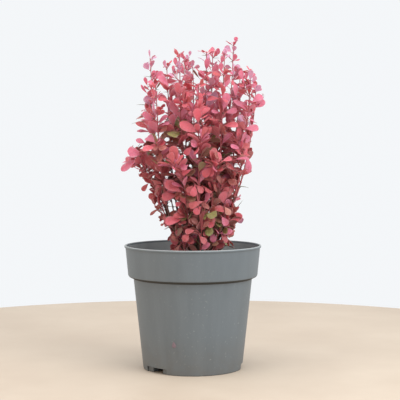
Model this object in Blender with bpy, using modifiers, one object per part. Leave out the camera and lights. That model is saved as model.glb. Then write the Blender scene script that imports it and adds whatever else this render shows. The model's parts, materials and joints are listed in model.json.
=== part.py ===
"""A young upright Japanese barberry growing in a plastic nursery pot.

Metres, +Z up, the front of the plant towards -Y. The origin is the middle of
the pot's underside. Every cane of the bush is one limb with one leafy shoot on
top of it, and short leafy sprays fill the crown between the canes.
"""

import math
import random

import bmesh
import bpy
from mathutils import Matrix, Vector
from mathutils.bvhtree import BVHTree

# Pot
POT_HEIGHT = 0.171
LIP_RADIUS = 0.095
LIP_DROP = 0.0028
COLLAR_TOP_RADIUS = 0.0936
COLLAR_FOOT_RADIUS = 0.0898
COLLAR_FOOT_Z = 0.1305
SHOULDER_Z = 0.1262
WALL_TOP_RADIUS = 0.0824
FOOT_RADIUS = 0.0690
WALL = 0.0016
FLOOR_THICKNESS = 0.0018
FLOOR_RISE = 0.0088
FOOT_RING_WIDTH = 0.0026
CENTRE_PAD_RADIUS = 0.026
PAD_SLOPE_WIDTH = 0.005
SOFT_EDGE = 0.0012
INSIDE_CORNER = 0.0022
TURN_STEPS = 32

# Drainage notches in the foot of the pot
NOTCH_BEARINGS = (-136.5, -0.5, 111.5)
NOTCH_WIDTH = 0.040
NOTCH_HEIGHT = 0.0078
NOTCH_DEPTH = 0.013
LUG_WIDTH = 0.0105
LUG_LENGTH = 0.010
LUG_SET_BACK = 0.0016
BITE = 0.0003
BASE_HOLE_COUNT = 6
BASE_HOLE_RADIUS = 0.0045
BASE_HOLE_CIRCLE = 0.042
BASE_HOLE_STEPS = 10

# Compost
SOIL_Z = 0.143
SOIL_CROWN = 0.0016
SOIL_GAP = 0.0004
GAP = 0.0003

# Root collar
STOOL_X = 0.008
STOOL_RADIUS = 0.0155
STOOL_RISE = 0.003
FLARE_RADIUS = 0.0200
STOOL_STEPS = 16
DOME_TURN = math.radians(97)
DOME_RINGS = 7

# Reach of the crown to the left and right of the pot's middle, at several heights
CROWN_REACH = (
    (0.150, 0.036, 0.060),
    (0.190, 0.042, 0.066),
    (0.215, 0.056, 0.072),
    (0.250, 0.071, 0.066),
    (0.275, 0.105, 0.086),
    (0.305, 0.104, 0.088),
    (0.340, 0.084, 0.096),
    (0.370, 0.075, 0.107),
    (0.400, 0.073, 0.100),
    (0.430, 0.070, 0.085),
    (0.463, 0.064, 0.068),
)
CROWN_TOP = CROWN_REACH[-1][0]
CROWN_DEPTH_SHARE = 0.92

# Canes: name, then the tip across, deep and above the ground, and the tilt of the foot in degrees
TALL_CANES = (
    ("left_edge", -0.059, 0.002, 0.430, 50),
    ("left_back", -0.037, 0.038, 0.421, 44),
    ("left_front", -0.018, -0.037, 0.433, 32),
    ("back_middle", -0.012, 0.050, 0.434, 40),
    ("heart", 0.000, 0.010, 0.418, 9),
    ("front_middle", 0.019, -0.020, 0.437, 16),
    ("back_right", 0.028, 0.036, 0.438, 26),
    ("tallest", 0.057, 0.022, 0.454, 27),
    ("right_front", 0.043, -0.040, 0.429, 36),
    ("right_edge", 0.079, -0.033, 0.412, 46),
    ("right_back", 0.067, 0.044, 0.408, 44),
    ("right_lean", 0.087, -0.002, 0.387, 38),
    ("front_low", 0.008, -0.062, 0.390, 48),
    ("front_left_low", -0.050, -0.036, 0.390, 54),
    ("back_low", 0.026, 0.066, 0.398, 50),
)
MID_SPRAYS = (
    ("mid_left", -0.082, -0.021, 0.297, 62),
    ("mid_front_left", -0.019, -0.066, 0.286, 60),
    ("mid_front_right", 0.038, -0.062, 0.290, 60),
    ("mid_right", 0.067, -0.042, 0.282, 64),
    ("mid_back_right", 0.050, 0.056, 0.286, 60),
    ("mid_back", -0.002, 0.070, 0.290, 60),
    ("mid_back_left", -0.058, 0.036, 0.292, 58),
)
LOW_SPRAYS = (
    ("low_left", -0.036, 0.010, 0.210, 80),
    ("low_front_left", -0.022, -0.036, 0.206, 76),
    ("low_front", 0.012, -0.046, 0.196, 76),
    ("low_front_right", 0.042, -0.032, 0.204, 76),
    ("low_right", 0.054, 0.022, 0.212, 78),
    ("low_back_right", 0.034, 0.044, 0.208, 76),
    ("low_back_left", -0.020, 0.038, 0.214, 76),
)

# How stems leave the root collar and end: share of the span that each end keeps its way, and lean
START_PULL = 0.20
CANE_END = (0.50, 0.05)
MID_END = (0.34, 1.10)
LOW_END = (0.40, 0.90)
CANE_SHARE = 0.22
CANE_STEPS = 5
BARE_HEAD_SHARE = 0.03

# Stem thickness
CANE_FOOT_RADIUS = 0.0020
CANE_HEAD_RADIUS = 0.0016
SHOOT_TIP_RADIUS = 0.0008
SPRAY_FOOT_RADIUS = 0.0014
TWIG_RADIUS = 0.0009
STEM_STEP = 0.034

# Side twigs
TWIG_EVERY = 8
TWIG_LENGTH = 0.024
TWIG_LIFT = math.radians(38)
TWIG_LENGTHS = (0.85, 1.15)
TWIG_SHORTENS = 0.4
TWIG_UPTURN = 0.35
TWIG_TAPER = (1.0, 0.9, 0.7)
TWIG_FREE_FROM = 0.3
TWIGS_UP_TO = 0.80
TWIG_LEAF_SHARE = 0.9
TWIG_LEAVES = ((0.92, 64.0), (0.66, 22.0), (0.40, 22.0))

# Leaves: blade length and lift above square to the stem, from a shoot's foot to its tip
INTERNODE = 0.0083
LOW_INTERNODE = 0.0050
TIP_NODE = 0.994
LEAF_LENGTHS = ((0.0, 0.024), (0.22, 0.031), (0.70, 0.031), (0.90, 0.026), (1.0, 0.016))
LEAF_LIFTS = ((0.0, -22.0), (0.30, 18.0), (0.7, 40.0), (1.0, 64.0))
LEAF_SIZES = (0.88, 1.08)
LIFT_SPREAD = 26.0
ROLL_SPREAD = 42.0
TURN_SPREAD = 0.25
TURN_SEARCH = 0.35
SIZE_SEARCH = 0.04
LEAF_WIDTH_SHARE = 0.62
LEAF_THICKNESS_SHARE = 0.045
WIDEST_AT = 0.60
BLUNT_AT = 0.95
BLUNT_SHARE = 0.50
BLUNT_DROOP = 0.06
BARE_STALK_SHARE = 0.17
GOLDEN_TURN = math.radians(137.5)
OUTWARD_PULL = 0.45
CLEAR = 0.00035
AIR = 0.0015
SINK_SHARE = 0.35
LEAF_TRIES = 7
SEED = 1784
SPRAY_SEED = 1884

# Where the leaves of a cane and of each tier of sprays start, how far apart they are, and how far
# along the table of leaf lengths the stem's tip comes
CANE_GROWTH = (CANE_SHARE + BARE_HEAD_SHARE, INTERNODE, 1.0)
MID_GROWTH = (0.42, INTERNODE, 0.78)
LOW_GROWTH = (0.30, LOW_INTERNODE, 0.78)

COLOURS = {
    "pot_grey": (0.200, 0.205, 0.205, 0.48, 0.0),
    "peat": (0.030, 0.019, 0.012, 0.95, 0.0),
    "bark": (0.075, 0.038, 0.030, 0.80, 0.0),
    "rose_leaf": (0.560, 0.095, 0.135, 0.55, 0.0),
}


def clear_scene():
    for obj in list(bpy.data.objects):
        bpy.data.objects.remove(obj, do_unlink=True)


def make_materials():
    """One Principled material for each finish: colour, roughness and metallic value."""
    made = {}
    for name, (red, green, blue, roughness, metallic) in COLOURS.items():
        material = bpy.data.materials.new(name)
        material.use_nodes = True
        shader = material.node_tree.nodes["Principled BSDF"]
        shader.inputs["Base Color"].default_value = (red, green, blue, 1.0)
        shader.inputs["Roughness"].default_value = roughness
        shader.inputs["Metallic"].default_value = metallic
        made[name] = material
    return made


def make_collection(name, shown=True):
    collection = bpy.data.collections.new(name)
    collection.hide_render = not shown
    bpy.context.scene.collection.children.link(collection)
    return collection


def add_object(name, data, collection, material=None):
    obj = bpy.data.objects.new(name, data)
    collection.objects.link(obj)
    if material is not None:
        data.materials.append(material)
    return obj


def as_mesh(obj):
    """A free copy of the object's mesh in world space, modifiers included."""
    graph = bpy.context.evaluated_depsgraph_get()
    mesh = bpy.data.meshes.new_from_object(obj.evaluated_get(graph), depsgraph=graph)
    mesh.transform(obj.matrix_world)
    return mesh


def turned(name, profile, steps, collection, material=None):
    """A solid turned round +Z from (radius, height) points that run up inside and down outside."""
    mesh = bpy.data.meshes.new(name)
    form = bmesh.new()
    points = [form.verts.new((radius, 0.0, height)) for radius, height in profile]
    for lower, upper in zip(points, points[1:]):
        form.edges.new((lower, upper))
    form.to_mesh(mesh)
    form.free()
    obj = add_object(name, mesh, collection, material)
    screw = obj.modifiers.new("turn", "SCREW")
    screw.steps = screw.render_steps = steps
    screw.use_merge_vertices = True
    screw.merge_threshold = 0.0001
    return obj


def object_from(form, name, collection):
    """An object made of a bmesh, which is freed."""
    mesh = bpy.data.meshes.new(name)
    form.to_mesh(mesh)
    form.free()
    return add_object(name, mesh, collection)


def box_shape(name, size, place, collection):
    """A box of the given size, its own middle at the given matrix."""
    form = bmesh.new()
    bmesh.ops.create_cube(form, size=1.0, matrix=place @ Matrix.Diagonal((*size, 1.0)))
    return object_from(form, name, collection)


def joined(obj, operation, collection):
    """Applies one Boolean with everything in a collection, then removes that collection's objects."""
    boolean = obj.modifiers.new("join", "BOOLEAN")
    boolean.operation = operation
    boolean.solver = "MANIFOLD"
    boolean.operand_type = "COLLECTION"
    boolean.collection = collection
    mesh = as_mesh(obj)
    finish = obj.data.materials[0]
    mesh.materials.clear()
    mesh.materials.append(finish)
    obj.modifiers.clear()
    obj.matrix_world = Matrix.Identity(4)
    obj.data = mesh
    for other in list(collection.objects):
        bpy.data.objects.remove(other, do_unlink=True)
    return obj


def inside_profile():
    """The pot's inside, from the middle of its floor up to where the lip starts."""
    floor = FLOOR_RISE + FLOOR_THICKNESS
    collar = COLLAR_FOOT_RADIUS - WALL
    return [
        (0.0, FLOOR_THICKNESS),
        (CENTRE_PAD_RADIUS - SOFT_EDGE, FLOOR_THICKNESS),
        (CENTRE_PAD_RADIUS - SOFT_EDGE + PAD_SLOPE_WIDTH, floor),
        (FOOT_RADIUS - WALL - INSIDE_CORNER / 2, floor),
        (FOOT_RADIUS - WALL + INSIDE_CORNER / 2, floor + INSIDE_CORNER),
        (WALL_TOP_RADIUS - WALL, SHOULDER_Z),
        (collar - SOFT_EDGE, COLLAR_FOOT_Z + WALL / 4),
        (collar, COLLAR_FOOT_Z + INSIDE_CORNER),
        (COLLAR_TOP_RADIUS - WALL, POT_HEIGHT - LIP_DROP),
    ]


def pot_profile():
    """Half section of the pot: up the inside, over the lip, down the outside and under the foot."""
    ring_inside = FOOT_RADIUS - FOOT_RING_WIDTH
    return inside_profile() + [
        (COLLAR_TOP_RADIUS - WALL + SOFT_EDGE / 4, POT_HEIGHT - SOFT_EDGE / 2),
        (LIP_RADIUS - SOFT_EDGE / 2, POT_HEIGHT),
        (LIP_RADIUS, POT_HEIGHT - SOFT_EDGE / 2),
        (LIP_RADIUS, POT_HEIGHT - LIP_DROP),
        (COLLAR_TOP_RADIUS, POT_HEIGHT - LIP_DROP - SOFT_EDGE / 2),
        (COLLAR_FOOT_RADIUS, COLLAR_FOOT_Z),
        (COLLAR_FOOT_RADIUS - SOFT_EDGE, COLLAR_FOOT_Z - 2 * SOFT_EDGE),
        (WALL_TOP_RADIUS, SHOULDER_Z - SOFT_EDGE),
        (FOOT_RADIUS, SOFT_EDGE),
        (FOOT_RADIUS - SOFT_EDGE / 2, 0.0),
        (ring_inside, 0.0),
        (ring_inside, FLOOR_RISE),
        (CENTRE_PAD_RADIUS + PAD_SLOPE_WIDTH, FLOOR_RISE),
        (CENTRE_PAD_RADIUS, 0.0),
        (0.0, 0.0),
    ]


def drain_hole(name, place, collection):
    """A short upright drill, its own middle at the given matrix."""
    form = bmesh.new()
    bmesh.ops.create_cone(
        form, cap_ends=True, segments=BASE_HOLE_STEPS, radius1=BASE_HOLE_RADIUS, radius2=BASE_HOLE_RADIUS,
        depth=4 * FLOOR_THICKNESS, matrix=place,
    )
    return object_from(form, name, collection)


def build_pot(parts, cutters, material):
    """The pot, with notches through its foot, a lug in each end of a notch and holes in its floor."""
    pot = turned("pot", pot_profile(), TURN_STEPS, parts, material)
    turns = [Matrix.Rotation(math.radians(bearing), 4, "Z") for bearing in NOTCH_BEARINGS]
    for number, turn in enumerate(turns):
        place = turn @ Matrix.Translation((FOOT_RADIUS - NOTCH_DEPTH / 4, 0, 0))
        cutter = box_shape(f"notch_{number}", (NOTCH_DEPTH, NOTCH_WIDTH, 2 * NOTCH_HEIGHT), place, cutters)
        soften = cutter.modifiers.new("soften", "BEVEL")
        soften.width = SOFT_EDGE
        soften.segments = 1
    for number in range(BASE_HOLE_COUNT):
        turn = Matrix.Rotation(math.tau * (number + 0.5) / BASE_HOLE_COUNT, 4, "Z")
        place = turn @ Matrix.Translation((BASE_HOLE_CIRCLE, 0, FLOOR_RISE + FLOOR_THICKNESS / 2))
        drain_hole(f"hole_{number}", place, cutters)
    joined(pot, "DIFFERENCE", cutters)
    aside = (NOTCH_WIDTH - LUG_WIDTH) / 2 + BITE
    outer = math.sqrt(FOOT_RADIUS ** 2 - (NOTCH_WIDTH / 2) ** 2) - LUG_SET_BACK
    size = (LUG_LENGTH, LUG_WIDTH, FLOOR_RISE)
    for number, turn in enumerate(turns):
        for side in (-1, 1):
            middle = Matrix.Translation((outer - LUG_LENGTH / 2, side * aside, FLOOR_RISE / 2 + BITE))
            box_shape(f"lug_{number}_{side}", size, turn @ middle, cutters)
    return joined(pot, "UNION", cutters)


def build_soil(parts, material):
    """The compost and root ball: the shape of the pot's inside, a hair smaller all round."""
    wall = [(max(radius - SOIL_GAP, 0.0), height + SOIL_GAP) for radius, height in inside_profile()]
    (low_radius, low), (high_radius, high) = wall[-2:]
    edge = SOIL_Z - SOIL_CROWN
    edge_radius = low_radius + (high_radius - low_radius) * (edge - low) / (high - low)
    top = [(0.0, SOIL_Z), (2 * FLARE_RADIUS, SOIL_Z), (edge_radius, edge)]
    return turned("soil", top + wall[-2::-1], TURN_STEPS, parts, material)


def stool_centre():
    return Vector((STOOL_X, 0.0, SOIL_Z + GAP + STOOL_RISE))


def build_root_collar(parts, material):
    """The woody stool: a root flare cut flat at the soil, and a dome that the canes fork from."""
    foot = SOIL_Z + GAP
    turns = [DOME_TURN * i / DOME_RINGS for i in range(DOME_RINGS + 1)]
    middle = foot + STOOL_RISE
    profile = [(STOOL_RADIUS * math.sin(turn), middle + STOOL_RADIUS * math.cos(turn)) for turn in turns]
    profile += [(FLARE_RADIUS, foot + SOFT_EDGE / 2), (FLARE_RADIUS, foot), (0.0, foot)]
    collar = turned("root_collar", profile, STOOL_STEPS, parts, material)
    collar.location.x = STOOL_X
    return collar


class Stem:
    """A smooth curve from the root collar to a tip, which leaves the collar squarely."""

    def __init__(self, tip, tilt, end):
        end_pull, end_lean = end
        centre = stool_centre()
        self.tip = Vector(tip)
        self.outward = Vector((self.tip.x - centre.x, self.tip.y - centre.y, 0.0)).normalized()
        start_way = self.outward * math.sin(tilt) + Vector((0, 0, math.cos(tilt)))
        self.foot = centre + start_way * (STOOL_RADIUS + GAP)
        span = (self.tip - self.foot).length
        end_way = (Vector((0, 0, 1)) + self.outward * end_lean).normalized()
        first_pull = self.foot + start_way * span * START_PULL
        self.pulls = (self.foot, first_pull, self.tip - end_way * span * end_pull, self.tip)

    def at(self, share):
        a, b, c, d = self.pulls
        rest = 1.0 - share
        return a * rest ** 3 + b * 3 * rest * rest * share + c * 3 * rest * share * share + d * share ** 3

    def way(self, share):
        near = min(share, 0.999)
        return (self.at(near + 0.001) - self.at(near)).normalized()

    def after(self, share, distance):
        """The share that lies a small distance further along the curve."""
        step = 0.001
        return share + distance * step / (self.at(share + step) - self.at(share)).length

    def length(self, start=0.0):
        steps = 40
        marks = [self.at(start + (1.0 - start) * i / steps) for i in range(steps + 1)]
        return sum((b - a).length for a, b in zip(marks, marks[1:]))


def between(table, share):
    """Reads a value from (share, value) pairs, with straight lines between them."""
    for (low, first), (high, second) in zip(table, table[1:]):
        if share <= high:
            return first + (second - first) * (share - low) / (high - low)
    return table[-1][1]


def rod(name, points, radii, section, collection):
    """A tapering rod through the points, round or of the given section, as one welded mesh."""
    curve = bpy.data.curves.new(name, "CURVE")
    curve.dimensions = "3D"
    curve.use_fill_caps = True
    if section is None:
        curve.bevel_depth = 1.0
        curve.bevel_resolution = 1
    else:
        curve.bevel_mode = "OBJECT"
        curve.bevel_object = section
    spline = curve.splines.new("POLY")
    spline.points.add(len(points) - 1)
    for point, place, radius in zip(spline.points, points, radii):
        point.co = (*place, 1.0)
        point.radius = radius
    obj = add_object(name, curve, collection)
    mesh = as_mesh(obj)
    bpy.data.objects.remove(obj, do_unlink=True)
    form = bmesh.new()
    form.from_mesh(mesh)
    bmesh.ops.remove_doubles(form, verts=form.verts, dist=1e-6)
    bmesh.ops.recalc_face_normals(form, faces=form.faces)
    form.to_mesh(mesh)
    form.free()
    return mesh


def triangle_section(collection):
    """A unit triangle that gives twigs three sides."""
    curve = bpy.data.curves.new("twig_section", "CURVE")
    curve.dimensions = "2D"
    curve.fill_mode = "NONE"
    spline = curve.splines.new("POLY")
    spline.points.add(2)
    for number, point in enumerate(spline.points):
        turn = math.tau * number / 3
        point.co = (math.cos(turn), math.sin(turn), 0.0, 1.0)
    spline.use_cyclic_u = True
    section = add_object("twig_section", curve, collection)
    section.hide_render = True
    section.display_type = "WIRE"
    return section


def blade_points(length, root_at=0.0, swell=0.0):
    """Corners of one leaf along +X: a spoon outline, then the keel of its underside and a top point."""
    half = length * LEAF_WIDTH_SHARE / 2 + swell
    keel = max(length * LEAF_THICKNESS_SHARE, 0.0006) + swell
    widest, blunt = length * WIDEST_AT, length * BLUNT_AT + swell
    droop = length * BLUNT_DROOP
    corners = [
        (root_at - swell, 0.0, 0.0),
        (widest, -half, 0.0),
        (blunt, -half * BLUNT_SHARE, -droop),
        (blunt, half * BLUNT_SHARE, -droop),
        (widest, half, 0.0),
        (widest, 0.0, -keel),
        (widest, 0.0, swell),
    ]
    return [Vector(corner) for corner in corners]


def blade_faces():
    """Eight triangles that close a blade: five to its keel, three across its upper face."""
    keel = 5
    under = [((first + 1) % 5, first, keel) for first in range(5)]
    return under + [(0, 1, 4), (1, 2, 4), (2, 3, 4)]


def swollen_faces():
    """Ten triangles that close a blade which also swells upwards."""
    top = 6
    return blade_faces()[:5] + [(first, (first + 1) % 5, top) for first in range(5)]


def frame_at(place, way, normal):
    """A matrix with +X along a leaf and +Z out of its upper face."""
    side = normal.cross(way).normalized()
    up = way.cross(side).normalized()
    turn = Matrix((way, side, up)).transposed().to_4x4()
    return Matrix.Translation(place) @ turn


class Space:
    """What has already been placed, so that a new twig or leaf can be kept clear of it."""

    def __init__(self):
        self.placed = []

    def add(self, owner, points, faces, kind):
        self.placed.append((owner, kind, *shape_ball(points), shape_tree(points, faces)))

    def hits(self, owner, points, faces, own_points, own_faces):
        """True if the shape touches another node, or its free end crosses a leaf or twig of its own."""
        centre, reach = shape_ball(points)
        tree, own_tree = shape_tree(points, faces), shape_tree(own_points, own_faces)
        for other, kind, middle, span, placed in self.placed:
            if (middle - centre).length > reach + span:
                continue
            if other != owner and tree.overlap(placed):
                return True
            if other == owner and kind == "free end" and own_tree.overlap(placed):
                return True
        return False


def shape_ball(points):
    centre = sum(points, Vector()) / len(points)
    return centre, max((point - centre).length for point in points)


def shape_tree(points, faces):
    return BVHTree.FromPolygons([tuple(point) for point in points], faces)


def mesh_shape(mesh):
    return [v.co.copy() for v in mesh.vertices], [tuple(p.vertices) for p in mesh.polygons]


def in_reach(point):
    """True if a point lies inside the crown's oval at its height."""
    left = between([(height, left) for height, left, right in CROWN_REACH], point.z)
    right = between([(height, right) for height, left, right in CROWN_REACH], point.z)
    across, middle = (left + right) / 2, (right - left) / 2
    deep = across * CROWN_DEPTH_SHARE
    return ((point.x - middle) / across) ** 2 + (point.y / deep) ** 2 <= 1.0


def in_open_air(points):
    """True if every point is over the compost, clear of the pot's wall and inside the crown."""
    for point in points:
        if not SOIL_Z + AIR < point.z < CROWN_TOP or not in_reach(point):
            return False
        if point.z < POT_HEIGHT + AIR and math.hypot(point.x, point.y) > COLLAR_FOOT_RADIUS - 4 * AIR:
            return False
    return True


def leaf_way(way, first, second, turn, lift, outward):
    """The direction of a leaf: round the stem by its turn, pulled outwards, lifted along the stem."""
    radial = first * math.cos(turn) + second * math.sin(turn)
    flat = radial + outward * OUTWARD_PULL
    flat -= way * flat.dot(way)
    flat.normalize()
    return (flat * math.cos(lift) + way * math.sin(lift)).normalized()


class Mass:
    """One leafy shoot or spray: its stem, its side twigs and its leaves, fused into one solid."""

    def __init__(self, name, stem, start, foot_radius, growth, seed):
        self.name, self.stem, self.start = name, stem, start
        self.foot_radius = foot_radius
        self.leafy_from, self.internode, self.youth = growth
        self.random = random.Random(seed)
        self.leaves, self.twigs = [], []
        self.turn = self.random.uniform(0, math.tau)
        self.twig_phase = self.random.randrange(TWIG_EVERY)

    def radius(self, share):
        along = (share - self.start) / (1 - self.start)
        return self.foot_radius + (SHOOT_TIP_RADIUS - self.foot_radius) * along

    def shares(self):
        """Where along the curve the stem's straight pieces meet."""
        count = max(4, round(self.stem.length(self.start) / STEM_STEP))
        return [self.start + (1 - self.start) * i / count for i in range(count + 1)]

    def place(self, share):
        """The point of the stem's axis at a share, on its straight pieces."""
        shares = self.shares()
        for low, high in zip(shares, shares[1:]):
            if share <= high:
                return self.stem.at(low).lerp(self.stem.at(high), (share - low) / (high - low))
        return self.stem.at(1.0)

    def stem_shape(self, section, collection):
        shares = self.shares()
        points = [self.stem.at(share) for share in shares]
        return rod(self.name, points, [self.radius(s) for s in shares], section, collection)

    def nodes(self):
        """The shares of the stem's length that bear leaves, an internode apart, and the tip."""
        span = self.stem.length(self.leafy_from)
        count = max(3, round(span / self.internode))
        spaced = [(number + 0.5) / count for number in range(count)]
        return [self.leafy_from + (1 - self.leafy_from) * share for share in spaced] + [TIP_NODE]

    def spread(self, limit):
        return math.radians(self.random.uniform(-limit, limit))


def try_leaf(space, mass, place, way, turn, lift, length, stem_radius):
    """Places one leaf if it finds room, turning it a little more at each try."""
    first, second = square_sides(way)
    sink = stem_radius * SINK_SHARE
    for attempt in range(LEAF_TRIES):
        spread = TURN_SPREAD + TURN_SEARCH * attempt
        tried_turn = turn + mass.random.uniform(-spread, spread)
        size = length * mass.random.uniform(*LEAF_SIZES) * (1 - SIZE_SEARCH * attempt)
        tried_lift = lift + mass.spread(LIFT_SPREAD)
        direction = leaf_way(way, first, second, tried_turn, tried_lift, mass.stem.outward)
        normal = (way - direction * way.dot(direction)).normalized()
        roll = Matrix.Rotation(mass.spread(ROLL_SPREAD), 3, direction)
        frame = frame_at(place, direction, roll @ normal)
        solid = [frame @ p for p in blade_points(size, -sink)[:6]]
        swollen = [frame @ p for p in blade_points(size, -sink, CLEAR)]
        free_end = [frame @ p for p in blade_points(size, BARE_STALK_SHARE * size)[:6]]
        if not in_open_air(swollen):
            continue
        if not space.hits(mass.name, swollen, swollen_faces(), free_end, blade_faces()):
            space.add(mass.name, free_end, blade_faces(), "free end")
            space.add(mass.name, solid, blade_faces(), "whole leaf")
            mass.leaves.append(solid)
            return


def square_sides(way):
    """Two directions square to a way and to each other."""
    first = way.cross(Vector((0, 1, 0))).normalized()
    return first, way.cross(first).normalized()


def try_twig(space, mass, place, way, turn, along, section, scratch):
    """Grows one side twig, with its own leaves, if it finds room."""
    direction = leaf_way(way, *square_sides(way), turn, TWIG_LIFT, mass.stem.outward)
    length = TWIG_LENGTH * (1 - TWIG_SHORTENS * along) * mass.random.uniform(*TWIG_LENGTHS)
    bend = (direction + Vector((0, 0, TWIG_UPTURN))).normalized()
    elbow = place + direction * length / 2
    tip = elbow + bend * length / 2
    mesh = rod("twig", (place, elbow, tip), [TWIG_RADIUS * share for share in TWIG_TAPER], section, scratch)
    shape, faces = mesh_shape(mesh)
    free_end = [point + (tip - place) * TWIG_FREE_FROM for point in shape]
    if not in_open_air(shape) or space.hits(mass.name, shape, faces, free_end, faces):
        return
    space.add(mass.name, free_end, faces, "free end")
    space.add(mass.name, shape, faces, "whole twig")
    mass.twigs.append(mesh)
    leaf_length = between(LEAF_LENGTHS, along * mass.youth) * TWIG_LEAF_SHARE
    for number, (share, lift) in enumerate(TWIG_LEAVES):
        start = elbow.lerp(tip, 2 * share - 1) if share > 0.5 else place.lerp(elbow, 2 * share)
        leaf_turn = turn + number * GOLDEN_TURN
        try_leaf(space, mass, start, bend, leaf_turn, math.radians(lift), leaf_length, TWIG_RADIUS)


def leaf_the_mass(space, mass, section, scratch):
    """Yields after each node, so that all the masses are leafed in turn, from their feet to their tips."""
    for number, share in enumerate(mass.nodes()):
        place, way = mass.place(share), mass.stem.way(share)
        along = (share - mass.leafy_from) / (1 - mass.leafy_from)
        turn = mass.turn + number * GOLDEN_TURN
        if number % TWIG_EVERY == mass.twig_phase and along < TWIGS_UP_TO:
            try_twig(space, mass, place, way, turn + math.pi / 2, along, section, scratch)
        length = between(LEAF_LENGTHS, along * mass.youth)
        lift = math.radians(between(LEAF_LIFTS, along))
        try_leaf(space, mass, place, way, turn, lift, length, mass.radius(share))
        yield


def build_canes(parts, material, space, scratch):
    """The bare foot of each tall cane, and the leafy mass that carries on from its head."""
    masses = []
    for number, (name, *tip, tilt) in enumerate(TALL_CANES):
        stem = Stem(tip, math.radians(tilt), CANE_END)
        shares = [CANE_SHARE * i / CANE_STEPS for i in range(CANE_STEPS + 1)]
        taper = (CANE_HEAD_RADIUS - CANE_FOOT_RADIUS) / CANE_SHARE
        radii = [CANE_FOOT_RADIUS + taper * share for share in shares]
        mesh = rod(f"cane_{name}", [stem.at(share) for share in shares], radii, None, scratch)
        add_object(f"cane_{name}", mesh, parts, material)
        space.add(f"cane_{name}", *mesh_shape(mesh), "limb")
        start = stem.after(CANE_SHARE, GAP)
        masses.append(Mass(f"shoot_{name}", stem, start, CANE_HEAD_RADIUS, CANE_GROWTH, SEED + number))
    return masses


def spray_masses():
    """Leafy sprays that start on the root collar itself, half way up the crown and low in it."""
    masses = []
    for sprays, end, growth in ((MID_SPRAYS, MID_END, MID_GROWTH), (LOW_SPRAYS, LOW_END, LOW_GROWTH)):
        for name, *tip, tilt in sprays:
            stem = Stem(tip, math.radians(tilt), end)
            seed = SPRAY_SEED + len(masses)
            masses.append(Mass(f"spray_{name}", stem, 0.0, SPRAY_FOOT_RADIUS, growth, seed))
    return masses


def islands_of(form):
    """The faces of each separate shell, the one with most faces first."""
    left, islands = set(form.faces), []
    while left:
        island = [left.pop()]
        for face in island:
            sound = [edge for edge in face.edges if len(edge.link_faces) == 2]
            near = {other for edge in sound for other in edge.link_faces} & left
            left -= near
            island += near
        islands.append(island)
    return sorted(islands, key=len, reverse=True)


def fuse_mass(mass, stem_mesh, parts, scratch, material):
    """Joins the leaves to the stem, then keeps only the outer skin of the main body."""
    obj = add_object(mass.name, stem_mesh, parts, material)
    for number, points in enumerate(mass.leaves):
        mesh = bpy.data.meshes.new("leaf")
        mesh.from_pydata([tuple(p) for p in points], [], blade_faces())
        add_object(f"leaf_{number}", mesh, scratch)
    for number, twig in enumerate(mass.twigs):
        add_object(f"twig_{number}", twig, scratch)
    joined(obj, "UNION", scratch)
    form = bmesh.new()
    form.from_mesh(obj.data)
    scraps = [face for island in islands_of(form)[1:] for face in island]
    bmesh.ops.delete(form, geom=scraps, context="FACES")
    form.to_mesh(obj.data)
    form.free()
    return obj


def build_foliage(parts, scratch, space, masses, material, section):
    stems = {}
    for mass in masses:
        stems[mass.name] = mass.stem_shape(section, scratch)
        space.add(mass.name, *mesh_shape(stems[mass.name]), "stem")
    growing = [leaf_the_mass(space, mass, section, scratch) for mass in masses]
    while growing:
        for growth in list(growing):
            if next(growth, "done") == "done":
                growing.remove(growth)
    for mass in masses:
        fuse_mass(mass, stems[mass.name], parts, scratch, material)
    leaves, twigs = (sum(len(getattr(mass, kind)) for mass in masses) for kind in ("leaves", "twigs"))
    print(len(masses), "masses,", twigs, "side twigs,", leaves, "leaves")


def main():
    clear_scene()
    materials = make_materials()
    parts = make_collection("japanese_barberry")
    cutters = make_collection("cutters", shown=False)
    scratch = make_collection("leaves_to_join", shown=False)
    guides = make_collection("guides", shown=False)
    build_pot(parts, cutters, materials["pot_grey"])
    build_soil(parts, materials["peat"])
    collar = build_root_collar(parts, materials["bark"])
    bpy.context.view_layer.update()
    space = Space()
    space.add("root_collar", *mesh_shape(as_mesh(collar)), "limb")
    section = triangle_section(guides)
    masses = build_canes(parts, materials["bark"], space, scratch)
    masses += spray_masses()
    build_foliage(parts, scratch, space, masses, materials["rose_leaf"], section)
    bpy.data.objects.remove(section, do_unlink=True)
    for collection in (cutters, scratch, guides):
        bpy.data.collections.remove(collection)


main()
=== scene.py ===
# %% [markdown]
# # A young Japanese barberry in its nursery pot
#
# The real object is a small upright shrub, about 29 cm tall above its compost, in a grey plastic pot of 3
# litres. Its spoon-shaped leaves are pink at the tips of the shoots, rose and red half way down, and
# crimson, maroon and here and there green near the pot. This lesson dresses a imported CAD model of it: the
# pot, the compost, the stems and the leaves are made again as fine meshes in the same places, and thorns,
# buds and crumbs are added.

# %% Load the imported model
import json
import math
import random

import bmesh
import bpy
import numpy as np
from mathutils import Matrix, Vector, noise
from mathutils.bvhtree import BVHTree

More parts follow.
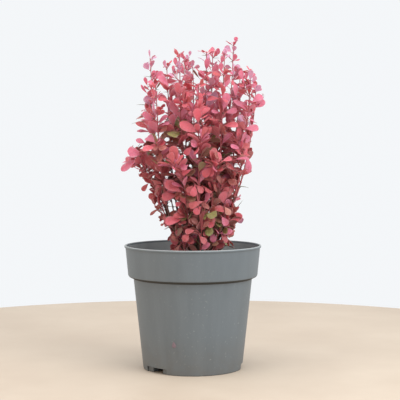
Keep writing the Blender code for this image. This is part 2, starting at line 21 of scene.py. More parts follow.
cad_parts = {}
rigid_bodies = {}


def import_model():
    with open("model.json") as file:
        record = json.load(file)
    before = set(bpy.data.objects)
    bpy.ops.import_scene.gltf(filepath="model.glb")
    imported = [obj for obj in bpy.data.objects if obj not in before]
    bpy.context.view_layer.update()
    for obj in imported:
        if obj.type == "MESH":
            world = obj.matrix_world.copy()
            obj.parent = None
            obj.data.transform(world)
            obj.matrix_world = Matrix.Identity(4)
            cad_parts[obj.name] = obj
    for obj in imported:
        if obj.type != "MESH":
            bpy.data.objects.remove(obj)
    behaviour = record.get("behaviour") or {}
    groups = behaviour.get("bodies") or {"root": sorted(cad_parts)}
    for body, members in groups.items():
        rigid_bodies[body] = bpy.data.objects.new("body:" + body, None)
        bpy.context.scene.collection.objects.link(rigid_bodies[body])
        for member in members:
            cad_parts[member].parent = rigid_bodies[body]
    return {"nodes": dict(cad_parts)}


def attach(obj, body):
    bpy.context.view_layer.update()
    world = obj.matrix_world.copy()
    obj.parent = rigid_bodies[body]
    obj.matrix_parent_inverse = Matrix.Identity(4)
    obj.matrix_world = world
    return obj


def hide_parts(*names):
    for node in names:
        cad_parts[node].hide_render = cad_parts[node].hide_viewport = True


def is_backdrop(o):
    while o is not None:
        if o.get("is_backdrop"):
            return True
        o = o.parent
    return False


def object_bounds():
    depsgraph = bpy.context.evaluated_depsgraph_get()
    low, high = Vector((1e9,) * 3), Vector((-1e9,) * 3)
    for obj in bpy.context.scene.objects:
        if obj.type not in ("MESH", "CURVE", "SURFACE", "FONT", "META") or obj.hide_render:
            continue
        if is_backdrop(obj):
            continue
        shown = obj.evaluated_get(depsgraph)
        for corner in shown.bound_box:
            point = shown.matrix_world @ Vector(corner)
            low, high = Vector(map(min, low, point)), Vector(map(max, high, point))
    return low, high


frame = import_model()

cad_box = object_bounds()
MASSES = sorted(name for name in frame["nodes"] if name.startswith(("shoot_", "spray_")))
CANES = sorted(name for name in frame["nodes"] if name.startswith("cane_"))
print(len(frame["nodes"]), "packed nodes:", len(MASSES), "leafy masses,", len(CANES), "canes and more")

# %% [markdown]
# ## The camera
#
# The photograph was taken a little above the pot's rim, straight on, from one and a half metres. A solver
# could match points, but for one object on one upright axis the rim's ellipse and the floor line fix it.

# %% Place the camera
CAMERA_PLACE = (0.010, -1.603, 0.308)
CAMERA_DIP = math.radians(2.664)
LENS_LENGTH = 104.0


def add_to_scene(name, data, place=(0.0, 0.0, 0.0)):
    obj = bpy.data.objects.new(name, data)
    obj.location = place
    bpy.context.scene.collection.objects.link(obj)
    return obj


lens = bpy.data.cameras.new("photo_camera")
lens.lens, lens.sensor_width = LENS_LENGTH, 36.0
camera = add_to_scene("photo_camera", lens, CAMERA_PLACE)
camera.rotation_euler = (math.pi / 2 - CAMERA_DIP, 0.0, 0.0)
bpy.context.scene.camera = camera
print("camera", CAMERA_PLACE, "dips", round(math.degrees(CAMERA_DIP), 2), "degrees")

# %% [markdown]
# ## Soft studio light
#
# A bright wall lights the plant from all sides. A ring of lamps would leave hot spots, so a near-white
# world does most, and three large soft lamps, high right, warm low left and above, model the leaves.

# %% Set the world and the lamps
WORLD_COLOUR = (0.905, 0.925, 0.945, 1.0)
LAMP_TARGET = Vector((0.0, 0.0, 0.22))
LAMPS = (
    ("key_lamp", (1.25, -1.05, 1.15), 1.5, 24.0, (1.0, 0.985, 0.97)),
    ("warm_lamp", (-1.20, -0.75, 0.35), 0.9, 3.6, (1.0, 0.64, 0.34)),
    ("top_lamp", (-0.15, -0.25, 1.60), 1.7, 15.0, (1.0, 1.0, 1.0)),
)
world = bpy.data.worlds.new("studio")
world.use_nodes = True
sky = world.node_tree.nodes["Background"].inputs
sky["Color"].default_value, sky["Strength"].default_value = WORLD_COLOUR, 1.0
bpy.context.scene.world = world
bpy.context.scene.view_settings.view_transform = "Standard"
for name, place, size, power, colour in LAMPS:
    light = bpy.data.lights.new(name, "AREA")
    light.shape, light.size, light.energy, light.color = "DISK", size, power, colour
    lamp = add_to_scene(name, light, place)
    lamp.rotation_euler = (LAMP_TARGET - lamp.location).to_track_quat("-Z", "Y").to_euler()
print("lamps:", ", ".join(lamp[0] for lamp in LAMPS))

# %% [markdown]
# ## Shader groups that several finishes share
#
# All surfaces here have a faint mottle, a fine relief and some dust. Wiring them again in every material
# would be long. A node group is built once and placed with its own values, so a change to it reaches them
# all.

# %% Helpers that wire shader nodes
EVEN = (1.0, 1.0, 1.0)
GREY = (0.3, 0.3, 0.3, 1.0)
INPUT_KINDS = {1: "Float", 3: "Vector", 4: "Color"}
RESULT_KINDS = {"Mask": "Float", "Normal": "Vector", "Colour": "Color"}


def put(tree, kind, feeds=None, **settings):
    """Adds a shader node: settings are its own properties, feeds its inputs, by value or from a socket."""
    made = tree.nodes.new("ShaderNode" + kind)
    for key, value in settings.items():
        setattr(made, key, value)
    for key, value in (feeds or {}).items():
        if isinstance(value, bpy.types.NodeSocket):
            tree.links.new(value, made.inputs[key])
        else:
            made.inputs[key].default_value = value
    return made


def spaced(label):
    return label.replace("_", " ")


def start_group(name, results, **inputs):
    """A new shader group, its inputs by name and the sockets that take its results."""
    group = bpy.data.node_groups.new(name, "ShaderNodeTree")
    for label, value in inputs.items():
        kind = INPUT_KINDS[len(value) if isinstance(value, tuple) else 1]
        socket = group.interface.new_socket(spaced(label), socket_type="NodeSocket" + kind)
        socket.default_value = value
    for label in results:
        kind = RESULT_KINDS[label]
        group.interface.new_socket(label, in_out="OUTPUT", socket_type="NodeSocket" + kind)
    return group, group.nodes.new("NodeGroupInput").outputs, group.nodes.new("NodeGroupOutput").inputs


def end_group(group, results, **sockets):
    """Links what a group gives out."""
    for label, socket in sockets.items():
        group.links.new(socket, results[label])
    print("group", group.name, "has", len(group.nodes), "nodes")


def noise_at(tree, stretch, scale, **inputs):
    """A noise at the point being shaded, in metres, with each axis scaled by its own factor."""
    place = put(tree, "TexCoord").outputs["Object"]
    place = put(tree, "VectorMath", {0: place, 1: stretch}, operation="MULTIPLY").outputs[0]
    return put(tree, "TexNoise", {"Vector": place, "Scale": scale, **inputs}).outputs["Fac"]


def calculated(tree, operation, *values, clamp=False):
    return put(tree, "Math", dict(enumerate(values)), operation=operation, use_clamp=clamp).outputs[0]


def remapped(tree, value, low, high, to_low, to_high):
    """A value moved from one range to another and kept inside it."""
    return put(tree, "MapRange", dict(enumerate((value, low, high, to_low, to_high)))).outputs[0]


def mixed(tree, share, first, second):
    return put(tree, "Mix", {0: share, 6: first, 7: second}, data_type="RGBA").outputs[2]


print("shader helpers ready")

# %% [markdown]
# ### Mottle
#
# No real surface has one even tone. A painted image would need unwrapping. A noise in object space needs
# none, and a stretch along one axis turns its blotches into streaks.

# %% Build the mottle group
mottle, given, result = start_group("mottle", ("Colour", "Mask"), Low_colour=GREY, High_colour=GREY,
                                    Scale=100.0, Stretch=EVEN, Contrast=1.6)
cloud = noise_at(mottle, given["Stretch"], given["Scale"], Detail=4.0, Roughness=0.6)
centred = calculated(mottle, "SUBTRACT", cloud, 0.5)
spread = calculated(mottle, "MULTIPLY_ADD", centred, given["Contrast"], 0.5, clamp=True)
tones = mixed(mottle, spread, given["Low colour"], given["High colour"])
end_group(mottle, result, Mask=spread, Colour=tones)

# %% [markdown]
# ### Fine relief
#
# Plastic has a faint grain, bark has fibres and a leaf has a dull skin, all too fine for geometry. So a
# noise drives a bump, with its depth in metres to keep it true to size.

# %% Build the relief group
relief, given, result = start_group("relief", ("Normal",), Scale=800.0, Stretch=EVEN, Depth=0.0001)
grain = noise_at(relief, given["Stretch"], given["Scale"], Detail=3.0)
bump = put(relief, "Bump", {"Strength": 1.0, "Distance": given["Depth"], "Height": grain})
end_group(relief, result, Normal=bump.outputs["Normal"])

# %% [markdown]
# ### Dust
#
# Dust and splashed compost lie in specks and patches, and in a film on what faces up. Painted dust would
# fit one pot only. Here a broad noise thins the specks of a fine one, and the film grows as a face tilts
# up.

# %% Build the dust group
dust, given, result = start_group("dust", ("Colour",), Colour=GREY, Dust_colour=GREY, Scale=300.0, Specks=0.3,
                                  Film=0.3, Patch_stretch=EVEN)
fine = noise_at(dust, EVEN, given["Scale"], Detail=2.0, Roughness=0.5)
broad = noise_at(dust, given["Patch stretch"], 42.0)
specks = calculated(dust, "MULTIPLY", remapped(dust, fine, 0.66, 0.74, 0.0, 1.0),
                    remapped(dust, broad, 0.40, 0.66, 0.1, given["Specks"]))
facing = put(dust, "SeparateXYZ", {0: put(dust, "NewGeometry").outputs["Normal"]}).outputs["Z"]
film = calculated(dust, "MULTIPLY", remapped(dust, facing, 0.3, 1.0, 0.0, 1.0), given["Film"])
both = calculated(dust, "MAXIMUM", specks, film, clamp=True)
end_group(dust, result, Colour=mixed(dust, both, given["Colour"], given["Dust colour"]))

# %% [markdown]
# ### A tint that fades with height
#
# Splashes brown the foot of the pot. A plain gradient would look sprayed on, so a noise breaks up the mask.

# %% Build the tide group
tide, given, result = start_group("tide", ("Colour",), Colour=GREY, Tint=GREY, Full_below=0.0, None_above=0.1,
                                  Strength=0.5)
height = put(tide, "SeparateXYZ", {0: put(tide, "TexCoord").outputs["Object"]}).outputs["Z"]
fall = remapped(tide, height, given["Full below"], given["None above"], 1.0, 0.0)
broken = calculated(tide, "MULTIPLY", fall, noise_at(tide, EVEN, 70.0, Detail=4.0))
eased = calculated(tide, "MULTIPLY", broken, given["Strength"], clamp=True)
end_group(tide, result, Colour=mixed(tide, eased, given["Colour"], given["Tint"]))

# %% [markdown]
# ## Finishes
#
# Each finish is one Principled material. Its colour comes through the groups, and what is the same all over
# is set on the shader itself. Most are two tones, a grain and some dust, so one helper makes them.

# %% Helpers for finishes
finishes = {}


def linear(*screen):
    """A screen colour, 0 to 255, as the linear colour that a shader takes."""
    parts = [part / 255.0 for part in screen]
    return (*(p / 12.92 if p <= 0.04045 else ((p + 0.055) / 1.055) ** 2.4 for p in parts), 1.0)


def scaled(colour, factor):
    return (*(min(1.0, part * factor) for part in colour[:3]), 1.0)


def between_colours(first, second, share):
    return (*(a + (b - a) * share for a, b in zip(first[:3], second[:3])), 1.0)


def new_finish(name, **constants):
    """Makes a material, and gives its node tree and its shader, which has the given constants."""
    finishes[name] = bpy.data.materials.new(name)
    finishes[name].use_nodes = True
    tree = finishes[name].node_tree
    shader = tree.nodes["Principled BSDF"]
    for label, value in constants.items():
        shader.inputs[spaced(label)].default_value = value
    return tree, shader


def use(tree, group, **feeds):
    """Places a shader group, with its inputs by name, and gives its outputs."""
    feeds = {spaced(label): value for label, value in feeds.items()}
    return put(tree, "Group", feeds, node_tree=group).outputs


def dress(tree, shader, colour, mask, rough, **grain):
    """Feeds a shader its colour, a roughness that runs between two values with a mask, and its relief."""
    tree.links.new(colour, shader.inputs["Base Color"])
    tree.links.new(remapped(tree, mask, 0.0, 1.0, *rough), shader.inputs["Roughness"])
    tree.links.new(use(tree, relief, **grain)["Normal"], shader.inputs["Normal"])


def two_tone(name, low, high, scale, stretch, rough, grain, depth, specks=0.0, film=0.0, contrast=2.0):
    """A finish from two screen colours, with a relief and some dust."""
    tree, shader = new_finish(name)
    tones = use(tree, mottle, Low_colour=linear(*low), High_colour=linear(*high), Scale=scale,
                Stretch=stretch, Contrast=contrast)
    dusted = use(tree, dust, Colour=tones["Colour"], Dust_colour=linear(150, 138, 118), Scale=700.0,
                 Specks=specks, Film=film)
    dress(tree, shader, dusted["Colour"], tones["Mask"], rough, Scale=grain, Stretch=stretch, Depth=depth)


print("finish helpers ready")

# %% [markdown]
# ### Grey nursery plastic
#
# The pot is grey plastic with faint upright streaks, pale specks, and a foot browned by splashes. A lighter
# copy of the plastic paints light on its inside and a painted highlight on its lip, and a dark one paints
# shade under its collar and at the bottom of its foot. One material with masks could hold all that, but four,
# chosen for each face by its place, are simpler and change exactly where the shape turns. The last two stand
# in the next table.

# %% Make the plastic
POT_DARK = linear(92, 101, 107)
POT_LIGHT = linear(107, 116, 122)


def plastic_finish(name, specks, splashed):
    """The grey plastic, with its share of specks, and with a splashed foot or a clean one."""
    tree, shader = new_finish(name, IOR=1.49)
    streaks = use(tree, mottle, Low_colour=POT_DARK, High_colour=POT_LIGHT, Scale=55.0,
                  Stretch=(1.0, 1.0, 0.10), Contrast=1.3)
    colour = streaks["Colour"]
    if splashed:
        colour = use(tree, tide, Colour=colour, Tint=linear(98, 88, 74), Full_below=0.0, None_above=0.055,
                     Strength=0.6)["Colour"]
    dusty = use(tree, dust, Colour=colour, Dust_colour=linear(170, 174, 170), Scale=330.0, Specks=specks,
                Film=0.22, Patch_stretch=(1.0, 1.0, 0.22))
    dress(tree, shader, dusty["Colour"], streaks["Mask"], (0.44, 0.58), Scale=900.0, Depth=0.00006)


plastic_finish("nursery_plastic", 0.32, True)
plastic_finish("collar_plastic", 0.10, False)
print("finishes", ", ".join(finishes))

# %% [markdown]
# ### Compost, bark, stem skin and dry bits
#
# Compost is dark and matt, the feet of the canes are grey-brown and ridged, and stems above are smooth and
# purple red. Thorns and a stuck scrap of leaf are dry and greyish, midribs pale. Each could be wired on its
# own, but they differ only in values, so a table holds them all, with the floor and the rest of the pot.

# %% Make the finishes of two tones
ALONG = (1.0, 1.0, 0.22)
TWO_TONES = {
    # a lighter copy of the plastic for the inside and the lip: painted light, and a painted highlight on the
    # lip
    "painted_light_plastic": ((138, 146, 148), (158, 165, 167), 60.0, (1.0, 1.0, 0.15), (0.55, 0.7), 900.0, 0.00006,
                       0.15, 0.1, 1.3),
    # a dark copy of the plastic for the collar's underside and the foot's bottom: painted shade
    "painted_shade_plastic": ((44, 43, 41), (62, 61, 58), 300.0, EVEN, (0.75, 0.9), 900.0, 0.0001),
    "pale_floor": ((184, 168, 150), (196, 182, 165), 6.0, EVEN, (0.6, 0.75), 300.0, 0.0001),
    "moist_compost": ((34, 25, 19), (78, 58, 42), 260.0, EVEN, (0.80, 0.98), 1500.0, 0.0004, 0.25, 0.05),
    "bark_chips": ((48, 32, 22), (112, 82, 58), 300.0, EVEN, (0.75, 0.95), 1800.0, 0.0003, 0.2, 0.1),
    "cane_bark": ((48, 36, 32), (106, 86, 74), 420.0, ALONG, (0.70, 0.92), 2400.0, 0.0002, 0.25, 0.15),
    "old_skin": ((66, 36, 34), (112, 66, 58), 500.0, ALONG, (0.50, 0.72), 2600.0, 0.0001, 0.15, 0.10),
    "young_skin": ((140, 58, 66), (176, 88, 92), 500.0, ALONG, (0.40, 0.58), 2600.0, 0.00006),
    "dry_thorn": ((92, 92, 78), (150, 142, 120), 600.0, EVEN, (0.45, 0.65), 2600.0, 0.00004),
    "dry_scrap": ((100, 82, 90), (130, 114, 122), 500.0, EVEN, (0.7, 0.85), 1300.0, 0.0001),
    "midribs": ((186, 92, 104), (214, 134, 140), 500.0, EVEN, (0.5, 0.65), 2400.0, 0.00004),
}
for name, values in TWO_TONES.items():
    two_tone(name, *values)
print("finishes", ", ".join(TWO_TONES))

# %% [markdown]
# ### Leaves
#
# A barberry turns colour leaf by leaf, so each tuft gets one tint from a table, with a satin upper face and
# a paler, duller underside. Photographed cards would fix one light. Instead a broad mottle bronzes parts of
# a leaf, a fine one flecks it, and some subsurface scattering lets light through the thin blade.

# %% Make two finishes for each leaf tint
# each tint's screen colour, and the share of bronze in its older patches
LEAF_TINTS = {
    "pink": (188, 144, 168, 0.0), "rose": (193, 106, 128, 0.08), "red": (196, 88, 99, 0.20),
    "crimson": (172, 79, 82, 0.34), "maroon": (142, 80, 69, 0.34), "umber": (114, 86, 60, 0.2),
    "green": (108, 120, 60, 0.2), "buff": (196, 138, 124, 0.2),
}
LEAF_BRONZE = linear(96, 72, 48)
LEAF_FLECK = linear(230, 140, 160)
UNDERSIDE_GREY = linear(176, 128, 134)
LEAF_PATCH = 95.0
LEAF_SPOT = 420.0
TRANSLUCENCY = 0.45
LIGHT_REACH = 0.0016


def leaf_finish(name, tint, rough, gloss, bronze):
    """One face of a leaf: bronze is how far its older patches have turned."""
    tree, shader = new_finish(
        name, Specular_IOR_Level=gloss, Subsurface_Weight=TRANSLUCENCY, Subsurface_Radius=(1.0, 0.5, 0.45),
        Subsurface_Scale=LIGHT_REACH)
    aged = between_colours(scaled(tint, 0.78), LEAF_BRONZE, bronze)
    broad = use(tree, mottle, Low_colour=aged, High_colour=scaled(tint, 1.16), Scale=LEAF_PATCH, Contrast=2.4)
    tones = use(tree, mottle, Low_colour=broad["Colour"], High_colour=between_colours(tint, LEAF_FLECK, 0.18),
                Scale=LEAF_SPOT, Contrast=1.5)
    dress(tree, shader, tones["Colour"], tones["Mask"], (rough + 0.06, rough - 0.06), Scale=1300.0,
          Depth=0.00008)


for tint, (*screen, bronze) in LEAF_TINTS.items():
    colour = linear(*screen)
    leaf_finish(f"leaf_{tint}", colour, 0.46, 0.30, bronze)
    leaf_finish(f"leaf_{tint}_underside", between_colours(colour, UNDERSIDE_GREY, 0.30), 0.62, 0.15, 0.0)
print("leaf tints:", ", ".join(LEAF_TINTS))

# %% [markdown]
# ## Joined meshes
#
# Thousands of separate leaves would be slow, and instances are lost when the model is exported. So each
# kind of small thing is heaped into one list of points and faces, and becomes one mesh, smooth but for its
# sharp edges.

# %% The heap that joins small shapes
class Heap:
    """Gathers many small shapes, which then become one piece."""

    def __init__(self):
        self.blocks, self.faces, self.finishes, self.count = [], [], [], 0

    def add(self, points, faces, finish=0):
        """finish is one number for all the faces, or a list with one for each."""
        self.blocks.append(np.asarray(points, dtype=float))
        self.faces.extend([tuple(self.count + i for i in face) for face in faces])
        self.finishes.extend(finish if isinstance(finish, list) else [finish] * len(faces))
        self.count += len(points)
        return self

    def becomes(self, name, crisp, dressing, slot="leaf", nodes=MASSES):
        """Makes the heap one mesh, with edges sharper than crisp degrees, and adds it as a piece."""
        mesh = bpy.data.meshes.new(name)
        mesh.from_pydata(np.concatenate(self.blocks).tolist(), [], self.faces)
        mesh.polygons.foreach_set("material_index", self.finishes)
        mesh.shade_smooth()
        mesh.set_sharp_from_angle(angle=math.radians(crisp))
        mesh.validate()
        add_piece(name, mesh, dressing, nodes)


def add_piece(name, mesh, dressing, nodes):
    """Puts a dressed mesh in the scene, as a piece that stands for the named CAD nodes."""
    for finish in dressing:
        mesh.materials.append(finishes[finish])
    obj = add_to_scene(name, mesh)
    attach(obj, "root")
    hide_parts(*nodes)
    mesh.calc_loop_triangles()
    print(f"{name}: {len(mesh.loop_triangles)} triangles")


print("heap ready")

# %% [markdown]
# ## The floor
#
# The floor isn't part of the object. Modelled boards would draw the eye, so it is a plain pale round sheet.
# Its far edge comes where the floor ends in the photograph.

# %% Lay the floor
FLOOR_RADIUS = 0.70
form = bmesh.new()
bmesh.ops.create_circle(form, cap_ends=True, segments=160, radius=FLOOR_RADIUS)
floor_mesh = bpy.data.meshes.new("floor")
form.to_mesh(floor_mesh)
form.free()
floor_mesh.materials.append(finishes["pale_floor"])
floor = add_to_scene("floor", floor_mesh)
floor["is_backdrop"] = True
print("floor", 2 * FLOOR_RADIUS, "m across")

# %% [markdown]
# ## The pot
#
# The pot is one thin moulding: a rolled lip, a deep collar, a tapering wall and a raised floor on a foot
# ring. Modifiers could shape a cylinder, but a half section turned round its axis gives every radius its
# true place. The third number of each corner is the bite that rounds it.

# %% Draw the pot's half section
POT_HEIGHT = 0.171
LIP_RADIUS = 0.095
LIP_DROP = 0.0028
COLLAR_TOP_RADIUS = 0.0936
COLLAR_FOOT_RADIUS = 0.0898
COLLAR_FOOT_Z = 0.1305
SHOULDER_Z = 0.1262
WALL_TOP_RADIUS = 0.0824
FOOT_RADIUS = 0.0690
WALL = 0.0016
FLOOR_THICKNESS = 0.0018
FLOOR_RISE = 0.0088
FOOT_RING_WIDTH = 0.0026
PAD_RADIUS = 0.026
PAD_INSIDE = PAD_RADIUS - 0.0012
PAD_SLOPE_WIDTH = 0.005
POT_STEPS = 192
deck = FLOOR_RISE + FLOOR_THICKNESS
ring = FOOT_RADIUS - FOOT_RING_WIDTH
INSIDE = [
    (0.0, FLOOR_THICKNESS, 0.0),
    (PAD_INSIDE, FLOOR_THICKNESS, 0.0015),
    (PAD_INSIDE + PAD_SLOPE_WIDTH, deck, 0.0015),
    (FOOT_RADIUS - WALL, deck, 0.0022),
    (WALL_TOP_RADIUS - WALL, SHOULDER_Z, 0.0012),
    (COLLAR_FOOT_RADIUS - WALL, COLLAR_FOOT_Z + WALL / 4, 0.0022),
    (COLLAR_TOP_RADIUS - WALL, POT_HEIGHT - LIP_DROP, 0.0008),
]
OUTSIDE = [
    (COLLAR_TOP_RADIUS - WALL + 0.0004, POT_HEIGHT, 0.0008),
    (LIP_RADIUS, POT_HEIGHT, 0.0009),
    (LIP_RADIUS, POT_HEIGHT - LIP_DROP, 0.0006),
    (COLLAR_TOP_RADIUS, POT_HEIGHT - LIP_DROP - 0.0005, 0.0004),
    (COLLAR_FOOT_RADIUS, COLLAR_FOOT_Z - 0.0022, 0.0024),
    (WALL_TOP_RADIUS, SHOULDER_Z - 0.0012, 0.0010),
    (FOOT_RADIUS, 0.0, 0.0012),
    (ring, 0.0, 0.0005),
    (ring, FLOOR_RISE, 0.0008),
    (PAD_RADIUS + PAD_SLOPE_WIDTH, FLOOR_RISE, 0.0012),
    (PAD_RADIUS, 0.0, 0.0010),
    (0.0, 0.0, 0.0),
]


def softened(section, steps=4):
    """Rounds each corner of a section: a quadratic curve from one side of its bite to the other."""
    points = []
    for number, (radius, height, bite) in enumerate(section):
        corner = np.array((radius, height))
        if bite == 0.0:
            points.append(corner)
            continue
        spans = [np.array(section[number + step][:2]) - corner for step in (-1, 1)]
        first, last = (corner + span * min(0.45, bite / np.linalg.norm(span)) for span in spans)
        for step in range(steps + 1):
            t = step / steps
            points.append(first * (1 - t) ** 2 + corner * 2 * t * (1 - t) + last * t ** 2)
    return points


def wrapped(rings, steps):
    """The faces of a closed skin over a first point, some rings of points and a last point."""
    last = 1 + rings * steps
    faces = []
    for step in range(steps):
        after = (step + 1) % steps
        faces += [(0, 1 + step, 1 + after), (last, last - steps + after, last - steps + step)]
        for low in range(1, last - steps, steps):
            faces.append((low + step, low + steps + step, low + steps + after, low + after))
    return faces


def spun(section, steps):
    """Points and faces of a closed solid turned round +Z, from axis to axis."""
    turns = np.arange(steps) * math.tau / steps
    points = [(0.0, 0.0, section[0][1])]
    for radius, height in section[1:-1]:
        points += [(radius * math.cos(t), radius * math.sin(t), height) for t in turns]
    return [*points, (0.0, 0.0, section[-1][1])], wrapped(len(section) - 2, steps)


pot_points, pot_faces = spun(softened(INSIDE + OUTSIDE), POT_STEPS)
print("pot before cutting:", len(pot_faces), "faces")

# %% [markdown]
# ### Notches, lugs and drain holes
#
# Water leaves by three notches in the foot, with a stout lug in each end, and by six holes in the floor.
# Adding them face by face is slow. A Boolean on the turned solid cuts or joins a whole collection of tools
# at once.

# %% Cut the pot
NOTCH_BEARINGS = (-136.5, -0.5, 111.5)
NOTCH_WIDTH = 0.040
NOTCH_HEIGHT = 0.0078
NOTCH_DEPTH = 0.013
LUG_WIDTH = 0.0105
LUG_LENGTH = 0.010
LUG_SET_BACK = 0.0016
BITE = 0.0003
HOLE_COUNT = 6
HOLE_RADIUS = 0.0045
HOLE_CIRCLE = 0.042
tools = bpy.data.collections.new("tools")
bpy.context.scene.collection.children.link(tools)


def keep_tool(form):
    mesh = bpy.data.meshes.new("tool")
    form.to_mesh(mesh)
    form.free()
    tools.objects.link(bpy.data.objects.new("tool", mesh))


def box_tool(size, place, rounding):
    """A box with rounded edges."""
    form = bmesh.new()
    bmesh.ops.create_cube(form, size=1.0, matrix=place @ Matrix.Diagonal((*size, 1.0)))
    bmesh.ops.bevel(form, geom=form.edges, offset=rounding, segments=3, profile=0.5, affect="EDGES")
    keep_tool(form)


def use_tools(obj, operation):
    """Applies a Boolean with all the tools, then throws them away."""
    boolean = obj.modifiers.new("join", "BOOLEAN")
    boolean.operation, boolean.solver = operation, "MANIFOLD"
    boolean.operand_type, boolean.collection = "COLLECTION", tools
    graph = bpy.context.evaluated_depsgraph_get()
    mesh = bpy.data.meshes.new_from_object(obj.evaluated_get(graph), depsgraph=graph)
    obj.modifiers.clear()
    obj.data = mesh
    for tool in list(tools.objects):
        bpy.data.objects.remove(tool, do_unlink=True)


blank = bpy.data.meshes.new("pot_blank")
blank.from_pydata(pot_points, [], pot_faces)
pot_blank = add_to_scene("pot_blank", blank)
bearings = [Matrix.Rotation(math.radians(bearing), 4, "Z") for bearing in NOTCH_BEARINGS]
for turn in bearings:
    place = turn @ Matrix.Translation((FOOT_RADIUS - NOTCH_DEPTH / 4, 0, 0))
    box_tool((NOTCH_DEPTH, NOTCH_WIDTH, 2 * NOTCH_HEIGHT), place, 0.0014)
for number in range(HOLE_COUNT):
    turn = Matrix.Rotation(math.tau * (number + 0.5) / HOLE_COUNT, 4, "Z")
    place = turn @ Matrix.Translation((HOLE_CIRCLE, 0, FLOOR_RISE + FLOOR_THICKNESS / 2))
    form = bmesh.new()
    bmesh.ops.create_cone(form, cap_ends=True, segments=40, radius1=HOLE_RADIUS, radius2=HOLE_RADIUS,
                          depth=4 * FLOOR_THICKNESS, matrix=place)
    keep_tool(form)
use_tools(pot_blank, "DIFFERENCE")
aside = (NOTCH_WIDTH - LUG_WIDTH) / 2 + BITE
outer = math.sqrt(FOOT_RADIUS ** 2 - (NOTCH_WIDTH / 2) ** 2) - LUG_SET_BACK
for turn in bearings:
    for side in (-1, 1):
        place = turn @ Matrix.Translation((outer - LUG_LENGTH / 2, side * aside, FLOOR_RISE / 2 + BITE))
        box_tool((LUG_LENGTH, LUG_WIDTH, FLOOR_RISE), place, 0.0002)
use_tools(pot_blank, "UNION")
pot_mesh = pot_blank.data
bpy.data.objects.remove(pot_blank, do_unlink=True)
bpy.data.collections.remove(tools)
print("pot after cutting:", len(pot_mesh.polygons), "faces")

# %% [markdown]
# ### The pot out of true
#
# A thin pot full of wet compost is never quite round, and a perfect one looks drawn with a ruler. Moving
# rings by hand would do, but a small formula sways it by up to 0.3 mm at the lip, where real ones give
# most. Then each face takes its finish by its place.

# %% Sway the pot and finish it
POT_FINISHES = ("nursery_plastic", "collar_plastic", "painted_light_plastic", "painted_shade_plastic")
COLLAR, PAINTED_LIGHT, PAINTED_SHADE = 1, 2, 3
PAINTED_SHADE_TOP = 0.0009
LIP_DEPTH = 0.0012
OVAL, THREE_SIDED = 0.0010, 0.0004
points = np.empty(len(pot_mesh.vertices) * 3)
pot_mesh.vertices.foreach_get("co", points)
points = points.reshape(-1, 3)
turns = np.arctan2(points[:, 1], points[:, 0])
share = points[:, 2] / POT_HEIGHT
grow = 1 - OVAL * share * (1 - np.sin(2 * turns + 0.6)) - THREE_SIDED * share * (1 - np.sin(3 * turns + 1.9))
points[:, :2] *= grow[:, None]
pot_mesh.vertices.foreach_set("co", points.ravel())
pot_mesh.materials.clear()
pot_mesh.shade_smooth()
pot_mesh.set_sharp_from_angle(angle=math.radians(38))
for polygon in pot_mesh.polygons:
    place, way = polygon.center, polygon.normal
    inward = place.x * way.x + place.y * way.y < 0
    # the collar's underside and the bottom of the foot take the dark plastic of painted shade
    under_collar = SHOULDER_Z - 0.0022 < place.z < COLLAR_FOOT_Z and way.z < -0.55
    # the inside and the lip take the lighter plastic: painted light, with a painted highlight on the lip
    if inward and FLOOR_RISE < place.z < POT_HEIGHT - LIP_DROP or place.z > POT_HEIGHT - LIP_DEPTH:
        polygon.material_index = PAINTED_LIGHT
    elif under_collar and not inward or place.z < PAINTED_SHADE_TOP:
        polygon.material_index = PAINTED_SHADE
    elif place.z > COLLAR_FOOT_Z - 0.004:
        polygon.material_index = COLLAR
add_piece("nursery_pot", pot_mesh, POT_FINISHES, ["pot"])

# %% [markdown]
# ## The compost
#
# Moist peat and bark fill the pot to a third of the way up its collar. A displaced disc would tear away
# from the wall. So the same half section is turned, and a noise that dies out at the wall lifts its top
# into crumbs.

# %% Fill the pot
SOIL_Z = 0.143
SOIL_CROWN = 0.0016
SOIL_GAP = 0.0004
SOIL_ROUGHNESS = 0.0011
SOIL_STEPS = 160
SOIL_EDGE_WIDTH = 0.008


def soil_lift(x, y):
    """How far the compost stands above its level at a place."""
    radius = math.hypot(x, y)
    coarse = noise.noise(Vector((x * 90, y * 90, 3.1)))
    fine = noise.noise(Vector((x * 320, y * 320, 7.7)))
    edge = min(1.0, max(0.0, (soil_edge - radius) / SOIL_EDGE_WIDTH))
    return SOIL_ROUGHNESS * (coarse + 0.6 * fine) * edge - SOIL_CROWN * (radius / soil_edge) ** 3


wall = [(max(radius - SOIL_GAP, 0.0), height + SOIL_GAP) for radius, height, bite in INSIDE]
(low_radius, low), (high_radius, high) = wall[-2:]
edge_z = SOIL_Z - SOIL_CROWN
soil_edge = low_radius + (high_radius - low_radius) * (edge_z - low) / (high - low)
rings = [(soil_edge * share, SOIL_Z) for share in np.linspace(0.0, 0.985, 60)]
soil_points, soil_faces = spun(rings + [(soil_edge, edge_z)] + wall[-2::-1], SOIL_STEPS)
soil_points = [(x, y, z + soil_lift(x, y) if z >= SOIL_Z - 1e-9 else z) for x, y, z in soil_points]
Heap().add(soil_points, soil_faces).becomes("compost_body", 50, ["moist_compost"], "compost", ["soil"])

# %% [markdown]
# ### Crumbs and bark chips
#
# Loose crumbs, flat chips and thin slivers lie on the compost. A particle system would have to be made real
# before export, so jittered pebbles, stretched and half sunk, go into one heap instead.

